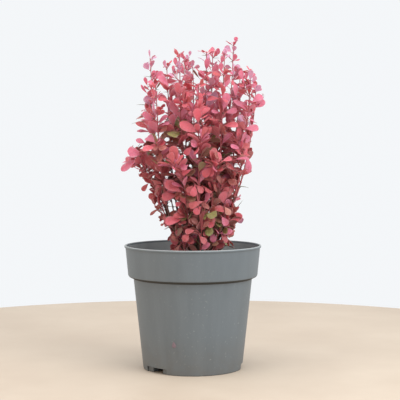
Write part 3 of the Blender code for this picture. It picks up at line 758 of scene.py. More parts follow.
# %% Scatter the crumbs
CRUMB_COUNT = 1500
CRUMB_SIZES = (0.0004, 0.0013)
CRUMB = (1.0, 0.9, 0.7)
CHIP = (2.4, 1.5, 0.45)
SLIVER = (4.5, 0.45, 0.35)
CRUMB_BELOW, CHIP_BELOW = 0.62, 0.88
CRUMB_LEAN = 0.7
CRUMB_JITTER = 0.22
CRUMB_LIFT = 0.3
CLEAR_MIDDLE = 0.022
dice = random.Random(4021)
pebble = bmesh.new()
bmesh.ops.create_icosphere(pebble, subdivisions=1, radius=1.0)
PEBBLE_POINTS = np.array([corner.co[:] for corner in pebble.verts])
PEBBLE_FACES = [tuple(corner.index for corner in face.verts) for face in pebble.faces]
pebble.free()


def jittered(dice, amount):
    """The twelve corners of a pebble, each moved in or out by up to the amount."""
    return PEBBLE_POINTS * np.array([[dice.uniform(1 - amount, 1 + amount)] for point in PEBBLE_POINTS])


heap = Heap()
for number in range(CRUMB_COUNT):
    kind = dice.random()
    form = CRUMB if kind < CRUMB_BELOW else CHIP if kind < CHIP_BELOW else SLIVER
    stretch = dice.uniform(*CRUMB_SIZES) * np.array(form)
    shape = jittered(dice, CRUMB_JITTER) * stretch
    spin = Matrix.Rotation(dice.uniform(0, math.tau), 3, "Z")
    shape = shape @ np.array(spin @ Matrix.Rotation(dice.uniform(-CRUMB_LEAN, CRUMB_LEAN), 3, "X")).T
    radius = math.sqrt(dice.uniform(CLEAR_MIDDLE ** 2, (soil_edge - 0.002) ** 2))
    turn = dice.uniform(0, math.tau)
    x, y = radius * math.cos(turn), radius * math.sin(turn)
    shape += (x, y, SOIL_Z + soil_lift(x, y))
    heap.add(shape + (0, 0, stretch[2] * CRUMB_LIFT), PEBBLE_FACES, int(form != CRUMB))
heap.becomes("compost_crumbs", 25, ["moist_compost", "bark_chips"], "compost", ["soil"])

# %% [markdown]
# ## Where the stems run
#
# Every stem is one smooth curve from the woody collar to a tip. It could be drawn by hand with a curve
# tool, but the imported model's own rule, leave the collar squarely and then turn up, keeps it inside the
# solid that it replaces.

# %% The rule of the stems
GAP = 0.0003
STOOL_X = 0.008
STOOL_RADIUS = 0.0155
STOOL_RISE = 0.003
START_PULL = 0.20
WANDER = 0.0009
UP = Vector((0.0, 0.0, 1.0))
LEAF_SEED = 100
TWIG_EVERY = 4
LAST_NODE = 0.994
TIP_RADIUS = 0.0005
KNUCKLE_SIZE = 0.30
KNUCKLE_REACH = 0.0011


def between(table, share):
    """Reads a value from (share, value) pairs, with straight lines between them."""
    return float(np.interp(share, [row[0] for row in table], [row[1] for row in table]))


def squared(vector, way):
    """The direction of the part of a vector that is square to a way."""
    return (vector - way * vector.dot(way)).normalized()


class Stem:
    """A smooth curve from the root collar to a tip, and where and how thickly it bears its leaves."""

    def __init__(self, tip, tilt, seed, end_pull, end_lean, leafy_from, internode, youth, foot_radius):
        self.leafy_from, self.youth, self.foot_radius = leafy_from, youth, foot_radius
        centre = Vector((STOOL_X, 0.0, SOIL_Z + GAP + STOOL_RISE))
        self.seed, self.tip = seed, Vector(tip)
        self.outward = Vector((self.tip.x - centre.x, self.tip.y - centre.y, 0.0)).normalized()
        self.start_way = self.outward * math.sin(tilt) + Vector((0, 0, math.cos(tilt)))
        foot = centre + self.start_way * (STOOL_RADIUS + GAP)
        span = (self.tip - foot).length
        end_way = (UP + self.outward * end_lean).normalized()
        after, before = foot + self.start_way * span * START_PULL, self.tip - end_way * span * end_pull
        self.pulls = (foot, after, before, self.tip)
        marks = [self.at(i / 60) for i in range(61)]
        self.length = sum((b - a).length for a, b in zip(marks, marks[1:]))
        self.turn = random.Random(seed).uniform(0, math.tau)
        self.dice = random.Random(seed + LEAF_SEED)
        count = max(3, round(self.length * (1 - leafy_from) / internode))
        self.nodes = [leafy_from + (1 - leafy_from) * (i + 0.5) / count for i in range(count)] + [LAST_NODE]
        self.twig_phase = self.dice.randrange(TWIG_EVERY)

    def at(self, share):
        a, b, c, d = self.pulls
        rest = 1.0 - share
        curve = a * rest ** 3 + b * 3 * rest * rest * share + c * 3 * rest * share * share + d * share ** 3
        sway = Vector([noise.noise(Vector((share * 7.0, self.seed * 1.7, z))) for z in (0.4, 5.4, 9.4)])
        return curve + sway * WANDER * min(1.0, 8 * share) * min(1.0, 8 * (1 - share))

    def way(self, share):
        near = min(share, LAST_NODE)
        return (self.at(near + 0.006) - self.at(near)).normalized()

    def radius(self, share):
        """The radius with a swelling at each node."""
        plain = self.foot_radius + (TIP_RADIUS - self.foot_radius) * share ** 0.8
        gap = min(abs(share - node) for node in self.nodes) * self.length
        return plain * (1 + KNUCKLE_SIZE * math.exp(-(gap / KNUCKLE_REACH) ** 2))


print("stem rule ready: start pull", START_PULL)

# %% [markdown]
# ### The canes and the sprays
#
# Fifteen tall canes make the vase shape, and two sets of seven short sprays fill it half way up and above
# the pot. A forking rule would give its own shape, not the photograph's, so they are listed: name, tip in
# millimetres and tilt at the collar in degrees.

# %% List the stems
CANE_SHARE = 0.22
TALL_CANES = (
    ("left_edge", -59, 2, 430, 50), ("left_back", -37, 38, 421, 44), ("left_front", -18, -37, 433, 32),
    ("back_middle", -12, 50, 434, 40), ("heart", 0, 10, 418, 9), ("front_middle", 19, -20, 437, 16),
    ("back_right", 28, 36, 438, 26), ("tallest", 57, 22, 454, 27), ("right_front", 43, -40, 429, 36),
    ("right_edge", 79, -33, 412, 46), ("right_back", 67, 44, 408, 44), ("right_lean", 87, -2, 387, 38),
    ("front_low", 8, -62, 390, 48), ("front_left_low", -50, -36, 390, 54), ("back_low", 26, 66, 398, 50),
)
MID_SPRAYS = (
    ("mid_left", -82, -21, 297, 62), ("mid_front_left", -19, -66, 286, 60),
    ("mid_front_right", 38, -62, 290, 60), ("mid_right", 67, -42, 282, 64),
    ("mid_back_right", 50, 56, 286, 60), ("mid_back", -2, 70, 290, 60),
    ("mid_back_left", -58, 36, 292, 58),
)
LOW_SPRAYS = (
    ("low_left", -36, 10, 210, 80), ("low_front_left", -22, -36, 206, 76), ("low_front", 12, -46, 196, 76),
    ("low_front_right", 42, -32, 204, 76), ("low_right", 54, 22, 212, 78),
    ("low_back_right", 34, 44, 208, 76), ("low_back_left", -20, 38, 214, 76),
)
stems = {}


def plant(rows, seed, *habit):
    """Starts stems with a habit: the pull and the lean at their tips, where their leaves start, how far
    apart, how near their tips come to the smallest leaves, and how thick their feet are."""
    for name, *tip, tilt in rows:
        stems[name] = Stem([part / 1000 for part in tip], math.radians(tilt), seed, *habit)
        seed += 1


plant(TALL_CANES, 1784, 0.50, 0.05, CANE_SHARE + 0.03, 0.0074, 1.0, 0.0020)
plant(MID_SPRAYS, 1884, 0.34, 1.10, 0.36, 0.0074, 0.78, 0.0014)
plant(LOW_SPRAYS, 1891, 0.40, 0.90, 0.26, 0.0072, 0.78, 0.0014)
print(len(stems), "stems,", sum(len(stem.nodes) for stem in stems.values()), "nodes, longest",
      round(max(stem.length for stem in stems.values()), 3), "m")

# %% [markdown]
# ## Bark with real relief
#
# A cane has ridges along it and a knuckle at each node. A curve with a bevel would be perfectly smooth, so
# each stem is rings of points that a noise, stretched along it, pushes in and out, less so towards the tip.

# %% Draw a tube with relief
def unit(vector):
    return vector / np.linalg.norm(vector)


def tube(points, radii, sides, ridge=0.0, seed=0.0):
    """A closed tapering tube through the points, with a relief of ridge times its radius."""
    points = np.array(points, dtype=float)
    ways = np.gradient(points, axis=0)
    side = np.cross(unit(ways[0]), (0.31, 0.95, 0.05))
    turns = np.arange(sides) * math.tau / sides
    shape, run = [points[0]], 0.0
    for number, (place, way, radius) in enumerate(zip(points, ways, radii)):
        way = unit(way)
        side = unit(side - way * side.dot(way))
        spokes = np.outer(np.cos(turns), side) + np.outer(np.sin(turns), np.cross(way, side))
        run += np.linalg.norm(place - points[max(0, number - 1)])
        if ridge:
            rounds = [(3.0 * math.cos(t), 3.0 * math.sin(t), run * 130 + seed) for t in turns]
            spokes *= (1 + ridge * np.array([noise.noise(Vector(spot)) for spot in rounds]))[:, None]
        shape.extend(place + spokes * radius)
    shape.append(points[-1] + unit(ways[-1]) * radii[-1] * 0.6)
    return np.array(shape), [(first, *rest[::-1]) for first, *rest in wrapped(len(points), sides)]


print("a short tube has", len(tube(((0, 0, 0), (0, 0, 1)), (1, 1), 4)[1]), "faces")

# %% Draw the canes and the stems of the shoots
RING_STEP = 0.0014
TALL_FOOT = 0.0015
ROOT_DEPTH = 0.003
TALL_CHANGE, SHORT_CHANGE = 0.46, 0.30
# the sides of a tube and the depth of its relief
BARK, OLD_SKIN, YOUNG_SKIN = (14, 0.20), (12, 0.12), (10, 0.04)
canes, shoots = Heap(), Heap()
for stem in stems.values():
    tall = stem.foot_radius > TALL_FOOT
    count = round(stem.length / RING_STEP)
    shares = np.linspace(0.0, 1.0, count)
    places = [stem.at(0.0) - stem.start_way * ROOT_DEPTH] + [stem.at(s) for s in shares]
    radii = [stem.foot_radius * 1.25] + [stem.radius(s) * (1 + 0.25 * math.exp(-s * 60)) for s in shares]
    cut = 1 + round(count * CANE_SHARE) if tall else 0
    if tall:
        canes.add(*tube(places[:cut + 1], radii[:cut + 1], *BARK, stem.seed))
    change = 1 + round(count * (TALL_CHANGE if tall else SHORT_CHANGE))
    shoots.add(*tube(places[cut:change + 1], radii[cut:change + 1], *OLD_SKIN, stem.seed + 9), 0)
    shoots.add(*tube(places[change:], radii[change:], *YOUNG_SKIN, stem.seed + 5), 1)
canes.becomes("cane_wood", 60, ["cane_bark"], "bark", CANES)

# %% [markdown]
# ### The woody collar
#
# The canes fork from a knobbly stump that just shows above the compost. Sculpting can't be repeated, so a
# turned dome is moved by the same noise, and sunk a little so that no gap shows.

# %% Shape the collar
FLARE_RADIUS = 0.0200
flare = ((0.0, -0.003), (0.9, -0.003), (1.0, -0.0006), (0.93, 0.0012))
profile = [(FLARE_RADIUS * share, z) for share, z in flare]
for t in np.linspace(0, 1.69, 26)[::-1]:
    profile.append((STOOL_RADIUS * math.sin(t), STOOL_RISE + STOOL_RADIUS * math.cos(t)))
collar_points, collar_faces = spun(profile, 64)
shape = []
for x, y, z in collar_points:
    knob = noise.noise(Vector((x * 210, y * 210, z * 160)))
    knob += 0.5 * noise.noise(Vector((x * 600, y * 600, z * 240)))
    root = 0.10 * max(0.0, 1 - z / 0.009) * math.cos(5 * math.atan2(y, x) + 0.7)
    grow = 1 + 0.075 * knob + root
    shape.append((STOOL_X + x * grow, y * grow, SOIL_Z + GAP + z * (1 + 0.05 * knob)))
heap = Heap().add(shape, [face[::-1] for face in collar_faces])
heap.becomes("root_collar_wood", 60, ["cane_bark"], "bark", ["root_collar"])

# %% [markdown]
# ## One leaf
#
# A barberry leaf is spoon shaped: a thin stalk widens slowly to a broad round end. It bends, folds and
# ripples, and no two do so alike. A flat card would look like paper, so a formula gives the middle surface,
# and two skins lie either side of it and meet in a thin edge.

# %% The surface of a leaf
LEAF_THICKNESS = 0.00034
LEAF_WIDTHS = (0.40, 0.55)
LEAF_TRAITS = {
    "bend": (-1.0, 0.3), "fold": (0.02, 0.30), "cup": (-0.22, 0.16), "twist": (-0.35, 0.35),
    "ripple": (0.0, 0.12), "waves": (1.2, 2.6), "phase": (0.0, 6.28), "taper": (1.1, 1.7),
    "blunt": (0.50, 0.80), "stalk": (0.08, 0.15),
}


class Leaf:
    """The shape of one leaf, from its foot at a place on a stem."""

    def __init__(self, place, along, up, length, dice, width=None):
        self.place, self.length = np.array(place), length
        side = up.cross(along).normalized()
        self.frame = np.array((along, side, along.cross(side)))
        self.half = length * (width or dice.uniform(*LEAF_WIDTHS)) / 2
        for trait, limits in LEAF_TRAITS.items():
            setattr(self, trait, dice.uniform(*limits))

    def points(self, rows, columns, skin):
        """Places on the leaf: rows run from stalk to tip, columns from edge to edge, skin is its side."""
        t, v, side = (np.asarray(values, dtype=float) for values in (rows, columns, skin))
        s = self.stalk + (1 - self.stalk) * t
        t = np.clip(t, 0.0, 1.0)
        widest = self.taper / (self.taper + self.blunt)
        most = widest ** self.taper * (1 - widest) ** self.blunt
        half = self.half * (t ** self.taper * (1 - t) ** self.blunt / most)
        turn, lean = self.bend * s, self.twist * s
        rise = half * (np.abs(v) * self.fold + self.cup * v * v) + side * LEAF_THICKNESS / 2 * (1 - v ** 4)
        rise = rise + half * v * self.ripple * np.sin(self.waves * math.tau * t + self.phase + (v > 0) * 1.3)
        across = half * v * np.cos(lean) - rise * np.sin(lean)
        lifted = half * v * np.sin(lean) + rise * np.cos(lean)
        x = self.length * np.sin(turn) / self.bend - lifted * np.sin(turn)
        z = self.length * (1 - np.cos(turn)) / self.bend + lifted * np.cos(turn)
        return self.place + np.stack((x, across, z), axis=-1) @ self.frame


print("a leaf's blade is", LEAF_THICKNESS * 1000, "mm thick and", LEAF_WIDTHS, "of its length wide")

# %% [markdown]
# ### Three nets over the leaf
#
# The formula serves three needs: a blade of 66 points with two skins, a rough net that keeps other leaves
# away, and a close one that finds any gap it would cover. One dense mesh for all would make each question
# slow.

# %% Lay out the nets
BLADE_ROWS = (0.05, 0.15, 0.29, 0.45, 0.61, 0.76, 0.88, 0.96)
BLADE_COLUMNS = (-1.0, -0.55, 0.0, 0.55, 1.0, 0.55, 0.0, -0.55)
BLADE_SKINS = (0, 1, 1, 1, 0, -1, -1, -1)
CLOSE_ROWS = (0.18, 0.32, 0.46, 0.60, 0.74, 0.87, 0.98)
FOOT, TIP = (0.0, 0.0, 0.0), (1.0, 0.0, 0.0)


def net(rows, columns, skins, before=(), after=()):
    """The rows, the columns and the skins of a net of points, with the points before and after it."""
    grid = [(row, column, skin) for row in rows for column, skin in zip(columns, skins)]
    return np.array([*before, *grid, *after], dtype=float).T


BLADE_NET = net(BLADE_ROWS, BLADE_COLUMNS, BLADE_SKINS, [FOOT], [TIP])
ROUGH_NET = net((0.22, 0.45, 0.70, 0.90), (-1, 0, 1), (0, 0, 0), after=[TIP])
CLOSE_NET = net(CLOSE_ROWS, (-1, -0.5, 0, 0.5, 1), (0, 0, 0, 0, 0))
BLADE_FACES = wrapped(len(BLADE_ROWS), len(BLADE_COLUMNS))
BLADE_SIDES = [0] * (len(BLADE_FACES) // 2) + [1] * (len(BLADE_FACES) // 2)
ROUGH_FACES = [(low, low + 3, low + 4, low + 1) for low in (0, 1, 3, 4, 6, 7)] + [(9, 12, 10), (10, 12, 11)]
print("one leaf:", len(BLADE_FACES), "faces")

# %% [markdown]
# ## The reach of the crown
#
# The crown is narrow at the pot, widest above half way and ragged at the top. A cage mesh could bound it,
# but a table is read straight off the photograph: height, and reach to the left and to the right, in
# millimetres.

# %% Bound the crown
CROWN_REACH = np.array((
    (150, 34, 60), (185, 36, 63), (203, 48, 70), (232, 59, 69), (246, 69, 67), (262, 72, 68),
    (272, 99, 85), (290, 98, 84), (305, 92, 86), (318, 81, 85), (332, 77, 90), (346, 81, 91),
    (360, 72, 95), (372, 71, 101), (386, 76, 97), (402, 71, 90), (417, 69, 86), (430, 66, 68),
    (463, 62, 66),
)) / 1000
CROWN_DEPTH_SHARE = 0.92
AIR = 0.0015


def crown_at(z):
    """The crown's half width and the place of its middle at a height."""
    left, right = (np.interp(z, CROWN_REACH[:, 0], CROWN_REACH[:, side]) for side in (1, 2))
    return (left + right) / 2, (right - left) / 2


def in_open_air(points):
    """True if every point is over the compost, clear of the pot's wall and inside the crown."""
    x, y, z = points.T
    across, middle = crown_at(z)
    outside = ((x - middle) / across) ** 2 + (y / (across * CROWN_DEPTH_SHARE)) ** 2 > 1.0
    at_wall = (z < POT_HEIGHT + AIR) & (np.hypot(x, y) > COLLAR_FOOT_RADIUS - 4 * AIR)
    low_or_high = (z < SOIL_Z + AIR) | (z > cad_box[1][2] - AIR)
    return not (outside | at_wall | low_or_high).any()


print("crown at most", round(2 * max(crown_at(CROWN_REACH[:, 0])[0]), 3), "m wide")

# %% [markdown]
# ## Gaps that stay open
#
# The wall shows through the crown in small bright gaps. Cutting leaves away later would leave stumps. So
# each gap is a disc on the upright plane through the pot's axis, its place across and up and its radius in
# tenths of a millimetre, and no leaf may cover it as seen from the camera. Behind the first, leaves may
# grow.

# %% List the gaps
SKY_GAPS = np.array((
    (410, 3060, 60), (-270, 2270, 50), (-360, 2180, 26), (-275, 2735, 10), (-366, 2654, 8),
    (-470, 3240, 14), (270, 1820, 8), (375, 1840, 8), (-335, 1890, 22), (-800, 2735, 30), (720, 2640, 30),
    (-610, 4290, 12), (-625, 4050, 18), (-470, 3890, 26), (-410, 3850, 12), (-690, 3795, 20),
    (-460, 3680, 26), (-380, 3579, 10), (-480, 3480, 16), (-320, 4120, 12), (-178, 4025, 10),
    (5, 4125, 24), (70, 4050, 16), (65, 3980, 20), (12, 3700, 12), (130, 4190, 18), (200, 4435, 20),
    (292, 4280, 24), (251, 4045, 8), (265, 3852, 10), (490, 4240, 20), (515, 4545, 16), (-55, 4440, 16),
    (643, 3975, 10), (693, 3728, 16), (-100, 2938, 6), (67, 2945, 5), (-89, 3111, 5), (-344, 3180, 6),
    (-444, 2723, 6), (-33, 2812, 4), (430, 3415, 6), (560, 3316, 5), (83, 3244, 4), (28, 3430, 6),
    (244, 3531, 4), (600, 2818, 10), (652, 2812, 14), (702, 2806, 12),
)) / 10000
GAP_MARGIN = 0.0012
EYE = Vector(CAMERA_PLACE)


def seen_at(x, z, depth):
    """The place at a depth y that the camera sees at x and z on the plane through the pot's axis."""
    return EYE + (Vector((x, 0.0, z)) - EYE) * ((depth - EYE.y) / -EYE.y)


def clear_of_gaps(points):
    """True if the camera sees none of the points in a gap."""
    eye = np.array(CAMERA_PLACE)
    seen = (eye + (points - eye) * (-eye[1] / (points[:, 1:2] - eye[1])))[:, ::2]
    covers = np.linalg.norm(seen[:, None] - SKY_GAPS[:, :2], axis=2) < SKY_GAPS[:, 2] + GAP_MARGIN
    covers[:, 0] &= points[:, 1] < 0.0
    return not covers.any()


print(len(SKY_GAPS), "gaps")

# %% [markdown]
# ## Room for every leaf
#
# Real leaves never pass through each other. A physics simulation could push them apart, but it is slow and
# hard to repeat. Instead each new leaf asks whether it would touch what has grown before, and if so it
# turns and asks again. A tree of boxes around each shape makes the question quick.

# %% Keep track of the room
def ball_round(points):
    """The middle of some points, then how far they reach from it."""
    centre = points.mean(axis=0)
    return (*centre, np.linalg.norm(points - centre, axis=1).max())


class Room:
    """What has been placed so far: a ball around each shape, and its tree of faces."""

    def __init__(self, most=9000):
        self.balls, self.trees = np.zeros((most, 4)), []

    def add(self, points, faces):
        self.balls[len(self.trees)] = ball_round(points)
        self.trees.append(BVHTree.FromPolygons(points.tolist(), faces))

    def touches(self, points, faces):
        *centre, reach = ball_round(points)
        balls = self.balls[:len(self.trees)]
        near = np.nonzero(np.linalg.norm(balls[:, :3] - centre, axis=1) < balls[:, 3] + reach)[0]
        tree = BVHTree.FromPolygons(points.tolist(), faces)
        return any(tree.overlap(self.trees[other]) for other in near)


CORE_STEP = 0.012
CORE_RADIUS = 0.0009
room = Room()
for stem in stems.values():
    marks = [stem.at(s) for s in np.linspace(0, 1, max(4, round(stem.length / CORE_STEP)))]
    for pair in zip(marks, marks[1:]):
        room.add(*tube(pair, [CORE_RADIUS, CORE_RADIUS], 3))
print("room holds", len(room.trees), "bits of stem")

# %% [markdown]
# ## Which tint a leaf gets
#
# Young leaves at the top are pink, half-grown ones rose and red, old ones crimson or maroon. Deep in the
# crown, where shade falls, maroon, umber and green come more often: partly the real colour of shaded
# leaves, partly painted shade. A ramp on height would make stripes, so chance deals each tuft a tint, with
# shares that change with height and depth.

# %% Deal the tints
TINT_HEIGHTS = (0.15, 0.22, 0.28, 0.33, 0.38, 0.46)
TINT_SHARES = {
    "pink": (0.0, 0.0, 0.0, 0.01, 0.12, 0.46),
    "rose": (0.08, 0.08, 0.14, 0.40, 0.46, 0.54),
    "red": (0.06, 0.10, 0.20, 0.24, 0.32, 0.0),
    "crimson": (0.46, 0.48, 0.46, 0.32, 0.10, 0.0),
    "maroon": (0.30, 0.28, 0.18, 0.03, 0.0, 0.0),
    "umber": (0.06, 0.05, 0.02, 0.0, 0.0, 0.0),
    "green": (0.0, 0.0, 0.0, 0.0, 0.0, 0.0),
    "buff": (0.04, 0.01, 0.0, 0.0, 0.0, 0.0),
}
# deep in the crown more crimson, maroon, umber and green: partly the real colour of shaded leaves, partly
# painted shade
DEEP_SHADE_SHARES = np.array((0.0, 0.0, 0.0, 0.2, 1.1, 2.4, 0.9, 0.0))
DEEP_START, DEEP_WIDTH = 0.66, 0.26
DEEP_TOP, DEEP_FADE = 0.335, 0.06
tint_dice = random.Random(77)


def deal_tint(place):
    """A tint for a tuft of leaves at a place in the crown."""
    shares = np.array([np.interp(place.z, TINT_HEIGHTS, row) for row in TINT_SHARES.values()])
    across, middle = crown_at(place.z)
    inside = math.hypot(place.x - middle, place.y) / across
    depth = min(1.0, max(0.0, (DEEP_START - inside) / DEEP_WIDTH))
    depth *= min(1.0, max(0.0, (DEEP_TOP - place.z) / DEEP_FADE))
    return tint_dice.choices(list(TINT_SHARES), shares + DEEP_SHADE_SHARES * depth)[0]


print("tints at the top:", {tint: row[-1] for tint, row in TINT_SHARES.items() if row[-1]})

# %% [markdown]
# ## How a leaf grows
#
# Buds turn round the stem by the golden angle, and lift with height. Placing each leaf by hand would take
# days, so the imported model's rule is used again. A leaf without room tries again, turned further and a
# little smaller, and after ten tries it is left out.

# %% The rule of the leaves
LEAF_LENGTHS = ((0.0, 0.029), (0.22, 0.034), (0.70, 0.031), (0.88, 0.0255), (1.0, 0.0140))
LEAF_SIZES = (0.80, 1.05)
TURN_SPREAD = 0.25
TURN_SEARCH = 0.30
SIZE_SEARCH = 0.032
LEAF_TRIES = 10
GOLDEN_TURN = math.radians(137.5)
OUTWARD_PULL = 0.45
RIB_ROWS = (0.0, 0.2, 0.45, 0.7, 0.88)
RIB_RADII = np.array((45, 38, 34, 30, 26, 22, 12)) * 1e-5
leaf_heaps = {tint: Heap() for tint in LEAF_TINTS}
ribs, twigs = Heap(), Heap()
grown = {"leaves": 0, "twigs": 0}


def round_about(way, turn):
    """The direction square to a way, at a turn round it."""
    first = way.cross(Vector((0, 1, 0))).normalized()
    return first * math.cos(turn) + way.cross(first).normalized() * math.sin(turn)


def leaf_way(way, turn, lift, outward):
    """The direction of a leaf: round the stem by its turn, pulled outwards, lifted along the stem."""
    flat = squared(round_about(way, turn) + outward * OUTWARD_PULL, way)
    return (flat * math.cos(lift) + way * math.sin(lift)).normalized()


def draw_leaf(leaf, tint):
    """Adds a leaf's blade, and the stalk and midrib that carry it."""
    leaf_heaps[tint].add(leaf.points(*BLADE_NET), BLADE_FACES, BLADE_SIDES)
    back = -leaf.stalk / (1 - leaf.stalk)
    line = leaf.points([back, back / 2, *RIB_ROWS], [0] * 7, [0] * 7)
    ribs.add(*tube(line, RIB_RADII * (leaf.length / 0.027), 4))
    grown["leaves"] += 1


def grow_leaf(stem, place, aim, face, length, tint, roll):
    """Grows one leaf if it finds room; aim gives its direction, which wanders further at each try."""
    dice = stem.dice
    for attempt in range(LEAF_TRIES):
        along = aim(TURN_SPREAD + TURN_SEARCH * attempt)
        size = length * dice.uniform(*LEAF_SIZES) * (1 - SIZE_SEARCH * attempt)
        up = squared(face, along)
        up = Matrix.Rotation(math.radians(dice.uniform(-roll, roll)), 3, along) @ up
        leaf = Leaf(place, along, up, size, dice)
        rough = leaf.points(*ROUGH_NET)
        free = in_open_air(rough) and clear_of_gaps(leaf.points(*CLOSE_NET))
        if free and not room.touches(rough, ROUGH_FACES):
            room.add(rough, ROUGH_FACES)
            draw_leaf(leaf, tint)
            return


print("leaf rule ready: lengths", LEAF_LENGTHS[1][1], "to", LEAF_LENGTHS[-1][1], "m")

# %% [markdown]
# ### Tufts
#
# One bud bears a long leaf and a few shorter ones that lean away from it. Equal leaves in a ring would look
# like a flower, so the followers lean and turn by chance, and most of them share the leader's tint.

# %% Grow a tuft
LEAF_LIFTS = ((0.0, -24.0), (0.30, 6.0), (0.60, 40.0), (0.85, 56.0), (1.0, 66.0))
TUFT_LIFTS = ((0.0, 20.0), (0.5, 40.0), (1.0, 60.0))
ROLL_SPREADS = ((0.0, 26.0), (0.5, 40.0), (1.0, 60.0))
FACE_OUTS = ((0.0, 0.05), (0.5, 0.45), (1.0, 0.90))
LIFT_SPREAD = 26.0
TUFT_LEANS = (34.0, 78.0)
TUFT_RISE = 0.6
FOLLOWER_SIZES = (0.60, 0.95)
SAME_TINT = 0.82


def grow_tuft(stem, place, way, turn, along, scale=1.0, most=3):
    """The leaves of the bud at a place, along its stem by a share."""
    dice, outward = stem.dice, stem.outward
    length = between(LEAF_LENGTHS, along * stem.youth) * scale
    lift = between(LEAF_LIFTS, along)
    tint = deal_tint(place)

    def lead(spread):
        own_lift = math.radians(lift + dice.uniform(-LIFT_SPREAD, LIFT_SPREAD))
        return leaf_way(way, turn + dice.uniform(-spread, spread), own_lift, outward)

    face, roll = UP + outward * between(FACE_OUTS, along), between(ROLL_SPREADS, along)
    grow_leaf(stem, place, lead, face, length, tint, roll)
    axis = leaf_way(way, turn, math.radians(between(TUFT_LIFTS, along)), outward)
    axis = (axis + UP * TUFT_RISE).normalized()
    for number in range(dice.randint(1, most)):
        spin = turn + (number + 1) * GOLDEN_TURN

        def follow(spread):
            lean = math.radians(dice.uniform(*TUFT_LEANS))
            aside = round_about(axis, spin + dice.uniform(-spread, spread))
            return (axis * math.cos(lean) + aside * math.sin(lean)).normalized()

        own = tint if dice.random() < SAME_TINT else deal_tint(place)
        grow_leaf(stem, place, follow, axis, length * dice.uniform(*FOLLOWER_SIZES), own, roll)


print("tufts of two to four leaves")

# %% [markdown]
# ### Side twigs
#
# At every fourth node a short twig may bear tufts of its own. More long stems would thicken the crown too
# evenly, so a twig repeats the stem's rule at a smaller scale, where there is room.

# %% Grow a side twig
TWIG_LENGTH = 0.023
TWIG_SPREAD = (0.8, 1.25)
TWIG_RADIUS = 0.0006
TWIG_LIFT = math.radians(38)
TWIG_UPTURN = Vector((0.0, 0.0, 0.70))
TWIG_NODES = (0.30, 0.52, 0.72, 0.88, 1.0)
TWIG_STEPS = np.linspace(0, 1, 12)


def grow_twig(stem, place, way, turn, along):
    """A short side twig with its own tufts, if it finds room."""
    start = leaf_way(way, turn, TWIG_LIFT, stem.outward)
    bend = (start + TWIG_UPTURN).normalized()
    length = TWIG_LENGTH * (1 - 0.4 * along) * stem.dice.uniform(*TWIG_SPREAD)
    line = [place + start * length * s + (bend - start) * length * s * s * 0.5 for s in TWIG_STEPS]
    shape, faces = tube(line[3:], [TWIG_RADIUS] * 9, 3)
    if not (in_open_air(shape) and clear_of_gaps(shape)) or room.touches(shape, faces):
        return
    room.add(shape, faces)
    twigs.add(*tube(line, 0.00075 - 0.00035 * TWIG_STEPS, 8, 0.10, stem.seed + along * 40))
    grown["twigs"] += 1
    for number, share in enumerate(TWIG_NODES):
        here = (bend * share + start * (1 - share)).normalized()
        own_along = min(1.0, along + 0.12 * share)
        grow_tuft(stem, line[round(share * 11)], here, turn + number * GOLDEN_TURN, own_along, 0.85, 2)


print("a twig has", len(TWIG_NODES), "tufts")

# %% [markdown]
# ## Leaves of the photograph
#
# Chance can't repeat the leaves that stand out at the crown's edge and front, and traced cards would fit
# one view only. So each is a real leaf on its own twig from the nearest bud, placed first. A row is its
# stem, its foot and tip as seen, in tenths of a millimetre, how far its tip stands behind the bud in
# millimetres, below 0 in front of it, its width in hundredths of its length, its bend in tenths, its tint,
# and a facing if it isn't open to the front.

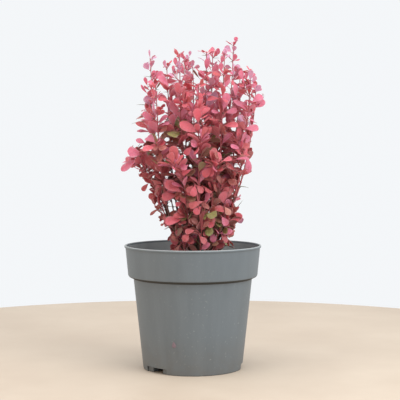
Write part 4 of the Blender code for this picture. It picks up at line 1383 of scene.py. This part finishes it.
# %% Grow the leaves of the photograph
OPEN = (0.0, -1.0, 0.5)
FLAT = (0.0, -0.5, 1.0)
NAMED_LEAVES = (
    ("mid_left", -650, 2968, -928, 2992, -22, 56, 3, "rose"),
    ("mid_left", -740, 2925, -1000, 2750, -14, 33, -2, "rose"),
    ("left_edge", -599, 2584, -711, 2466, -2, 45, -3, "crimson"),
    ("left_edge", -470, 2404, -620, 2395, -6, 66, -5, "crimson"),
    ("left_edge", -450, 2223, -607, 2139, -2, 34, -3, "maroon", FLAT),
    ("left_edge", -430, 2285, -500, 2305, -2, 36, 3, "umber"),
    ("left_edge", -400, 2240, -340, 2300, -2, 36, 3, "umber"),
    ("left_edge", -420, 2180, -440, 2105, -2, 36, 3, "maroon"),
    ("left_front", -166, 2400, -433, 2404, -12, 50, -6, "red"),
    ("low_front_left", -136, 2060, -383, 2050, -12, 56, -5, "red"),
    ("low_front_left", -375, 2015, -450, 1985, -4, 45, -3, "maroon"),
    ("low_front_left", -230, 1835, -292, 1800, -4, 60, -3, "maroon"),
    ("low_front_left", -150, 2300, -238, 2262, -8, 76, -3, "red"),
    ("front_left_low", -215, 3090, -452, 3030, -12, 42, -6, "rose", FLAT),
    ("front_low", 5, 3090, -118, 2972, -8, 52, -5, "red"),
    ("mid_front_left", 8, 2760, -160, 2715, -8, 50, -6, "red"),
    ("front_low", 274, 2800, 140, 2670, -12, 60, -6, "red"),
    ("front_low", 290, 2800, 235, 2665, -10, 56, -5, "red"),
    ("low_front", 20, 2555, -80, 2452, -14, 62, -7, "crimson"),
    ("low_front", 30, 2560, 4, 2395, -18, 56, -7, "red"),
    ("low_front", 40, 2555, 142, 2450, -14, 58, -7, "crimson"),
    ("low_front", 130, 2265, 22, 2150, -12, 64, -6, "red"),
    ("low_front", 185, 2325, -55, 2270, -16, 42, -6, "crimson"),
    ("left_edge", -594, 4118, -670, 4228, -2, 72, 3, "pink"),
    ("left_edge", -566, 3622, -649, 3780, -4, 74, 2, "pink"),
    ("left_edge", -610, 3790, -740, 3912, -2, 34, 4, "rose", FLAT),
    ("left_edge", -620, 3890, -668, 4035, -2, 36, 3, "rose"),
    ("left_edge", -580, 3320, -790, 3415, -6, 42, -3, "crimson"),
    ("left_edge", -566, 3270, -775, 3320, 4, 40, -3, "rose", FLAT),
    ("left_edge", -540, 3975, -425, 4120, -4, 46, -3, "rose"),
    ("left_front", -308, 3873, -455, 4070, -6, 42, -4, "rose"),
    ("left_front", -310, 3700, -480, 3765, -4, 44, -6, "red"),
    ("back_middle", -45, 4265, -95, 4340, -2, 52, 3, "pink"),
    ("back_middle", -40, 4230, 15, 4240, -2, 46, 3, "rose", FLAT),
    ("back_middle", -45, 4300, -35, 4400, -2, 46, 3, "pink"),
    ("front_middle", 165, 3985, 98, 4130, -4, 60, -4, "rose"),
    ("back_right", 340, 4330, 352, 4435, -2, 50, 3, "rose"),
    ("back_right", 350, 3960, 340, 4130, -4, 56, 3, "rose"),
    ("right_front", 395, 4080, 385, 4235, -4, 50, 3, "rose"),
    ("left_front", -240, 4180, -242, 4310, -3, 46, 3, "rose"),
    ("right_front", 390, 4215, 425, 4325, -4, 58, 3, "rose"),
    ("tallest", 590, 4490, 598, 4590, -1, 62, 3, "rose"),
    ("tallest", 550, 4365, 436, 4450, -3, 72, 2, "pink"),
    ("tallest", 549, 4235, 605, 4350, -3, 62, 3, "rose"),
    ("tallest", 540, 4090, 640, 4210, -4, 58, -3, "pink"),
    ("right_edge", 693, 3965, 662, 4130, -4, 46, -3, "rose"),
    ("right_edge", 800, 3965, 802, 4140, -4, 44, 3, "pink"),
    ("right_edge", 765, 4000, 860, 4085, -3, 50, -3, "rose"),
    ("right_edge", 740, 3985, 735, 4100, -1, 50, 3, "rose"),
    ("right_front", 594, 3750, 590, 3935, -6, 40, -3, "rose"),
    ("mid_left", -640, 3110, -785, 3185, -4, 50, -4, "rose"),
    ("left_edge", -520, 3480, -400, 3590, -4, 38, -6, "red"),
    ("left_edge", -565, 3985, -530, 4130, -3, 46, -3, "rose"),
    ("left_edge", -530, 3845, -435, 3962, -5, 20, 3, "umber"),
    ("front_middle", 110, 3995, -5, 4128, -5, 20, 3, "umber"),
    ("right_edge", 690, 3870, 765, 3985, -5, 26, 3, "maroon"),
    ("right_edge", 800, 3940, 885, 4045, -5, 50, 3, "pink"),
    ("right_lean", 800, 3595, 995, 3718, -4, 50, -3, "rose"),
    ("right_lean", 835, 3815, 950, 3915, -2, 58, 3, "pink"),
    ("right_edge", 690, 3318, 915, 3346, -4, 54, -4, "rose"),
    ("right_edge", 600, 3065, 790, 3100, -4, 46, -3, "crimson"),
    ("mid_right", 545, 2885, 775, 2955, -12, 44, -5, "rose", FLAT),
    ("mid_right", 730, 2965, 832, 2712, -4, 40, -7, "rose", (0.4, -1.0, 0.3)),
    ("mid_right", 570, 2722, 800, 2728, -20, 42, 4, "crimson", FLAT),
    ("right_edge", 450, 2620, 600, 2575, -20, 60, -5, "maroon"),
    ("low_right", 595, 2020, 715, 2060, -3, 74, 3, "pink"),
    ("mid_front_right", 240, 2200, 150, 2085, -24, 62, -4, "green", (-0.7, -0.8, -0.4)),
    ("mid_front_right", 340, 2200, 235, 2110, -34, 62, -4, "green", FLAT),
    ("low_front", -39, 1885, -140, 1770, -12, 62, -5, "crimson"),
    ("low_front", 45, 1915, -105, 1895, -10, 56, -4, "crimson"),
    ("low_front", 80, 1850, 185, 1745, -14, 60, -6, "crimson"),
    ("low_front_right", 266, 1900, 294, 1745, -12, 60, -5, "rose"),
    ("low_front_right", 430, 2260, 520, 2130, -10, 56, -3, "buff"),
    ("low_right", 480, 2060, 585, 1960, -10, 56, -4, "buff"),
    ("low_front_right", 390, 2120, 480, 1990, -12, 58, -4, "rose"),
    ("front_middle", 40, 3150, -40, 3128, -10, 60, -3, "green"),
)
NAMED_TWIG_BOW = 0.12
named_dice = random.Random(909)


def bowed(start, end, bow, shares):
    """Points from a start to an end, moved by the bow half way."""
    return [start.lerp(end, s) + bow * 4 * s * (1 - s) for s in shares]


def bud_near(stem, x, z):
    """The place and way of the stem's bud nearest to a place on the side of the crown that it is on."""
    place = Vector((x, stem.tip.y * 0.7, z))
    share = min(stem.nodes, key=lambda node: (stem.at(node) - place).length)
    return stem.at(share), stem.way(share)


def grow_named_leaf(name, foot_x, foot_z, tip_x, tip_z, depth, width, bend, tint, face=OPEN):
    """A twig from the nearest bud to the leaf's foot, then the leaf."""
    stem, depth, face = stems[name], depth / 1000, Vector(face)
    start, way = bud_near(stem, foot_x / 10000, foot_z / 10000)
    foot = seen_at(foot_x / 10000, foot_z / 10000, start.y + depth / 2)
    tip = seen_at(tip_x / 10000, tip_z / 10000, start.y + depth)
    along = (tip - foot).normalized()
    up = squared(face, along)
    leaf = Leaf(foot, along, up, (tip - foot).length, named_dice, width / 100)
    leaf.bend = bend / 10
    rough = leaf.points(*ROUGH_NET)
    if room.touches(rough, ROUGH_FACES):
        print("  no room for the leaf of", name, tuple(round(part, 3) for part in foot))
    room.add(rough, ROUGH_FACES)
    draw_leaf(leaf, tint)
    line = bowed(start, foot, way * NAMED_TWIG_BOW * (foot - start).length, np.linspace(0, 1, 8))
    twigs.add(*tube(line, np.linspace(0.0007, 0.00045, 8), 7, 0.08, stem.seed))


for row in NAMED_LEAVES:
    grow_named_leaf(*row)
print(grown["leaves"], "leaves of the photograph")

# %% [markdown]
# ### A scrap of leaf on the pot
#
# A dry scrap sticks to the wall. Colour in the plastic would look printed, so it is a small leaf, almost
# flat.

# %% Stick the scrap on
SCRAP_PLACE = Vector((-0.0254, -0.0703, 0.0488))
scrap = Leaf(SCRAP_PLACE, Vector((0.096, 0.088, -1.0)).normalized(), Vector((-0.34, -0.94, 0.0)), 0.0105,
             named_dice, 0.55)
scrap.bend, scrap.fold, scrap.cup = 0.05, 0.02, -0.05
Heap().add(scrap.points(*BLADE_NET), BLADE_FACES).becomes("dry_leaf_scrap", 75, ["dry_scrap"])

# %% [markdown]
# ## Let it grow
#
# If the stems leafed one after another, the first would take all the room. So they leaf in turn, node by
# node from the foot, as real ones do. Generators, which stop after each node, keep every stem's place.

# %% Grow all the stems in turn
TWIGS_FROM, TWIGS_TO = 0.04, 0.92


def leaf_the_stem(stem):
    """Yields after each node."""
    for number, share in enumerate(stem.nodes):
        place, way = stem.at(share), stem.way(share)
        along = (share - stem.leafy_from) / (1 - stem.leafy_from)
        turn = stem.turn + number * GOLDEN_TURN
        if number % TWIG_EVERY == stem.twig_phase and TWIGS_FROM < along < TWIGS_TO:
            grow_twig(stem, place, way, turn + math.pi / 2, along)
        grow_tuft(stem, place, way, turn, along)
        yield


growing = [leaf_the_stem(stem) for stem in stems.values()]
while growing:
    growing = [growth for growth in growing if next(growth, "done") != "done"]
print(grown)

# %% Turn the heaps into pieces
for tint, heap in leaf_heaps.items():
    heap.becomes(f"leaves_{tint}", 75, [f"leaf_{tint}", f"leaf_{tint}_underside"])
ribs.becomes("leaf_ribs", 70, ["midribs"])
shoots.becomes("shoot_stems", 60, ["old_skin", "young_skin"])
twigs.becomes("side_twigs", 60, ["young_skin"])

# %% [markdown]
# ## Thorns and buds
#
# Under most tufts stands one straight thorn, and a tiny bud swells above it. A texture can't show them
# against the sky, so each thorn is a tapering tube. Four that stand out in the photograph are listed.

# %% Set the thorns and the buds
THORN_SHARE = 0.72
THORN_LENGTHS = (0.008, 0.016)
THORN_LIFTS = (-14, 10)
THORN_BOWS = (-0.10, 0.05)
THORN_RADII = (0.00060, 0.00042, 0.00034, 0.00022, 0.00005)
NAMED_THORN_RADII = (0.00080, 0.00062, 0.00052, 0.00038, 0.00008)
NEEDLE_RADII = (0.0003, 0.00025, 0.00015, 0.00003)
BUD_SIZE = (0.0011, 0.0007, 0.0007)
BUD_RISE = 0.0011
NAMED_THORNS = (
    ("right_edge", 0.0610, 0.2549, 0.0780, 0.2503), ("left_edge", -0.0600, 0.3636, -0.0780, 0.3653),
    ("left_edge", -0.0640, 0.3407, -0.0850, 0.3391), ("low_right", 0.0600, 0.2390, 0.0700, 0.2335),
)
thorns, buds = Heap(), Heap()
for name, foot_x, foot_z, tip_x, tip_z in NAMED_THORNS:
    start, way = bud_near(stems[name], foot_x, foot_z)
    tip = seen_at(tip_x, tip_z, start.y - 0.002)
    thorns.add(*tube(bowed(start, tip, way * 0.0010, (0, 0.15, 0.4, 0.7, 1)), NAMED_THORN_RADII, 6))
for stem in stems.values():
    dice = random.Random(stem.seed + 500)
    for number, share in enumerate(stem.nodes[:-1]):
        place, way = stem.at(share), stem.way(share)
        turn = stem.turn + number * GOLDEN_TURN + dice.uniform(-0.25, 0.25)
        along = leaf_way(way, turn, math.radians(dice.uniform(*THORN_LIFTS)), stem.outward)
        radius = stem.radius(share)
        bud = jittered(dice, 0.08) * np.array(BUD_SIZE) @ np.array((along, way.cross(along), way))
        buds.add(np.array(place + along * radius + way * BUD_RISE) + bud, PEBBLE_FACES)
        length = dice.uniform(*THORN_LENGTHS) * (1 - 0.35 * share)
        if dice.random() > THORN_SHARE:
            continue
        bow = way * length * dice.uniform(*THORN_BOWS)
        line = [place + along * (radius * 0.6 + length * s) + bow * s * s for s in (0, 0.12, 0.4, 0.75, 1)]
        needle, faces = tube(line[1:], NEEDLE_RADII, 3)
        if in_open_air(needle) and not room.touches(needle, faces):
            thorns.add(*tube(line, THORN_RADII, 5))
thorns.becomes("thorns", 60, ["dry_thorn"])
buds.becomes("buds", 80, ["old_skin"])

# %% [markdown]
# ## Both sizes
#
# The dressed plant may not be larger than the imported model. A stray leaf outside the imported model's box
# is easy to miss by eye, so both boxes are printed after every run.

# %% Write the sizes and finish
new_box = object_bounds()
[[list(map(float, corner)) for corner in box] for box in (cad_box, new_box)]
print("CAD box ", [[round(v, 4) for v in corner] for corner in cad_box])
print("this box", [[round(v, 4) for v in corner] for corner in new_box])
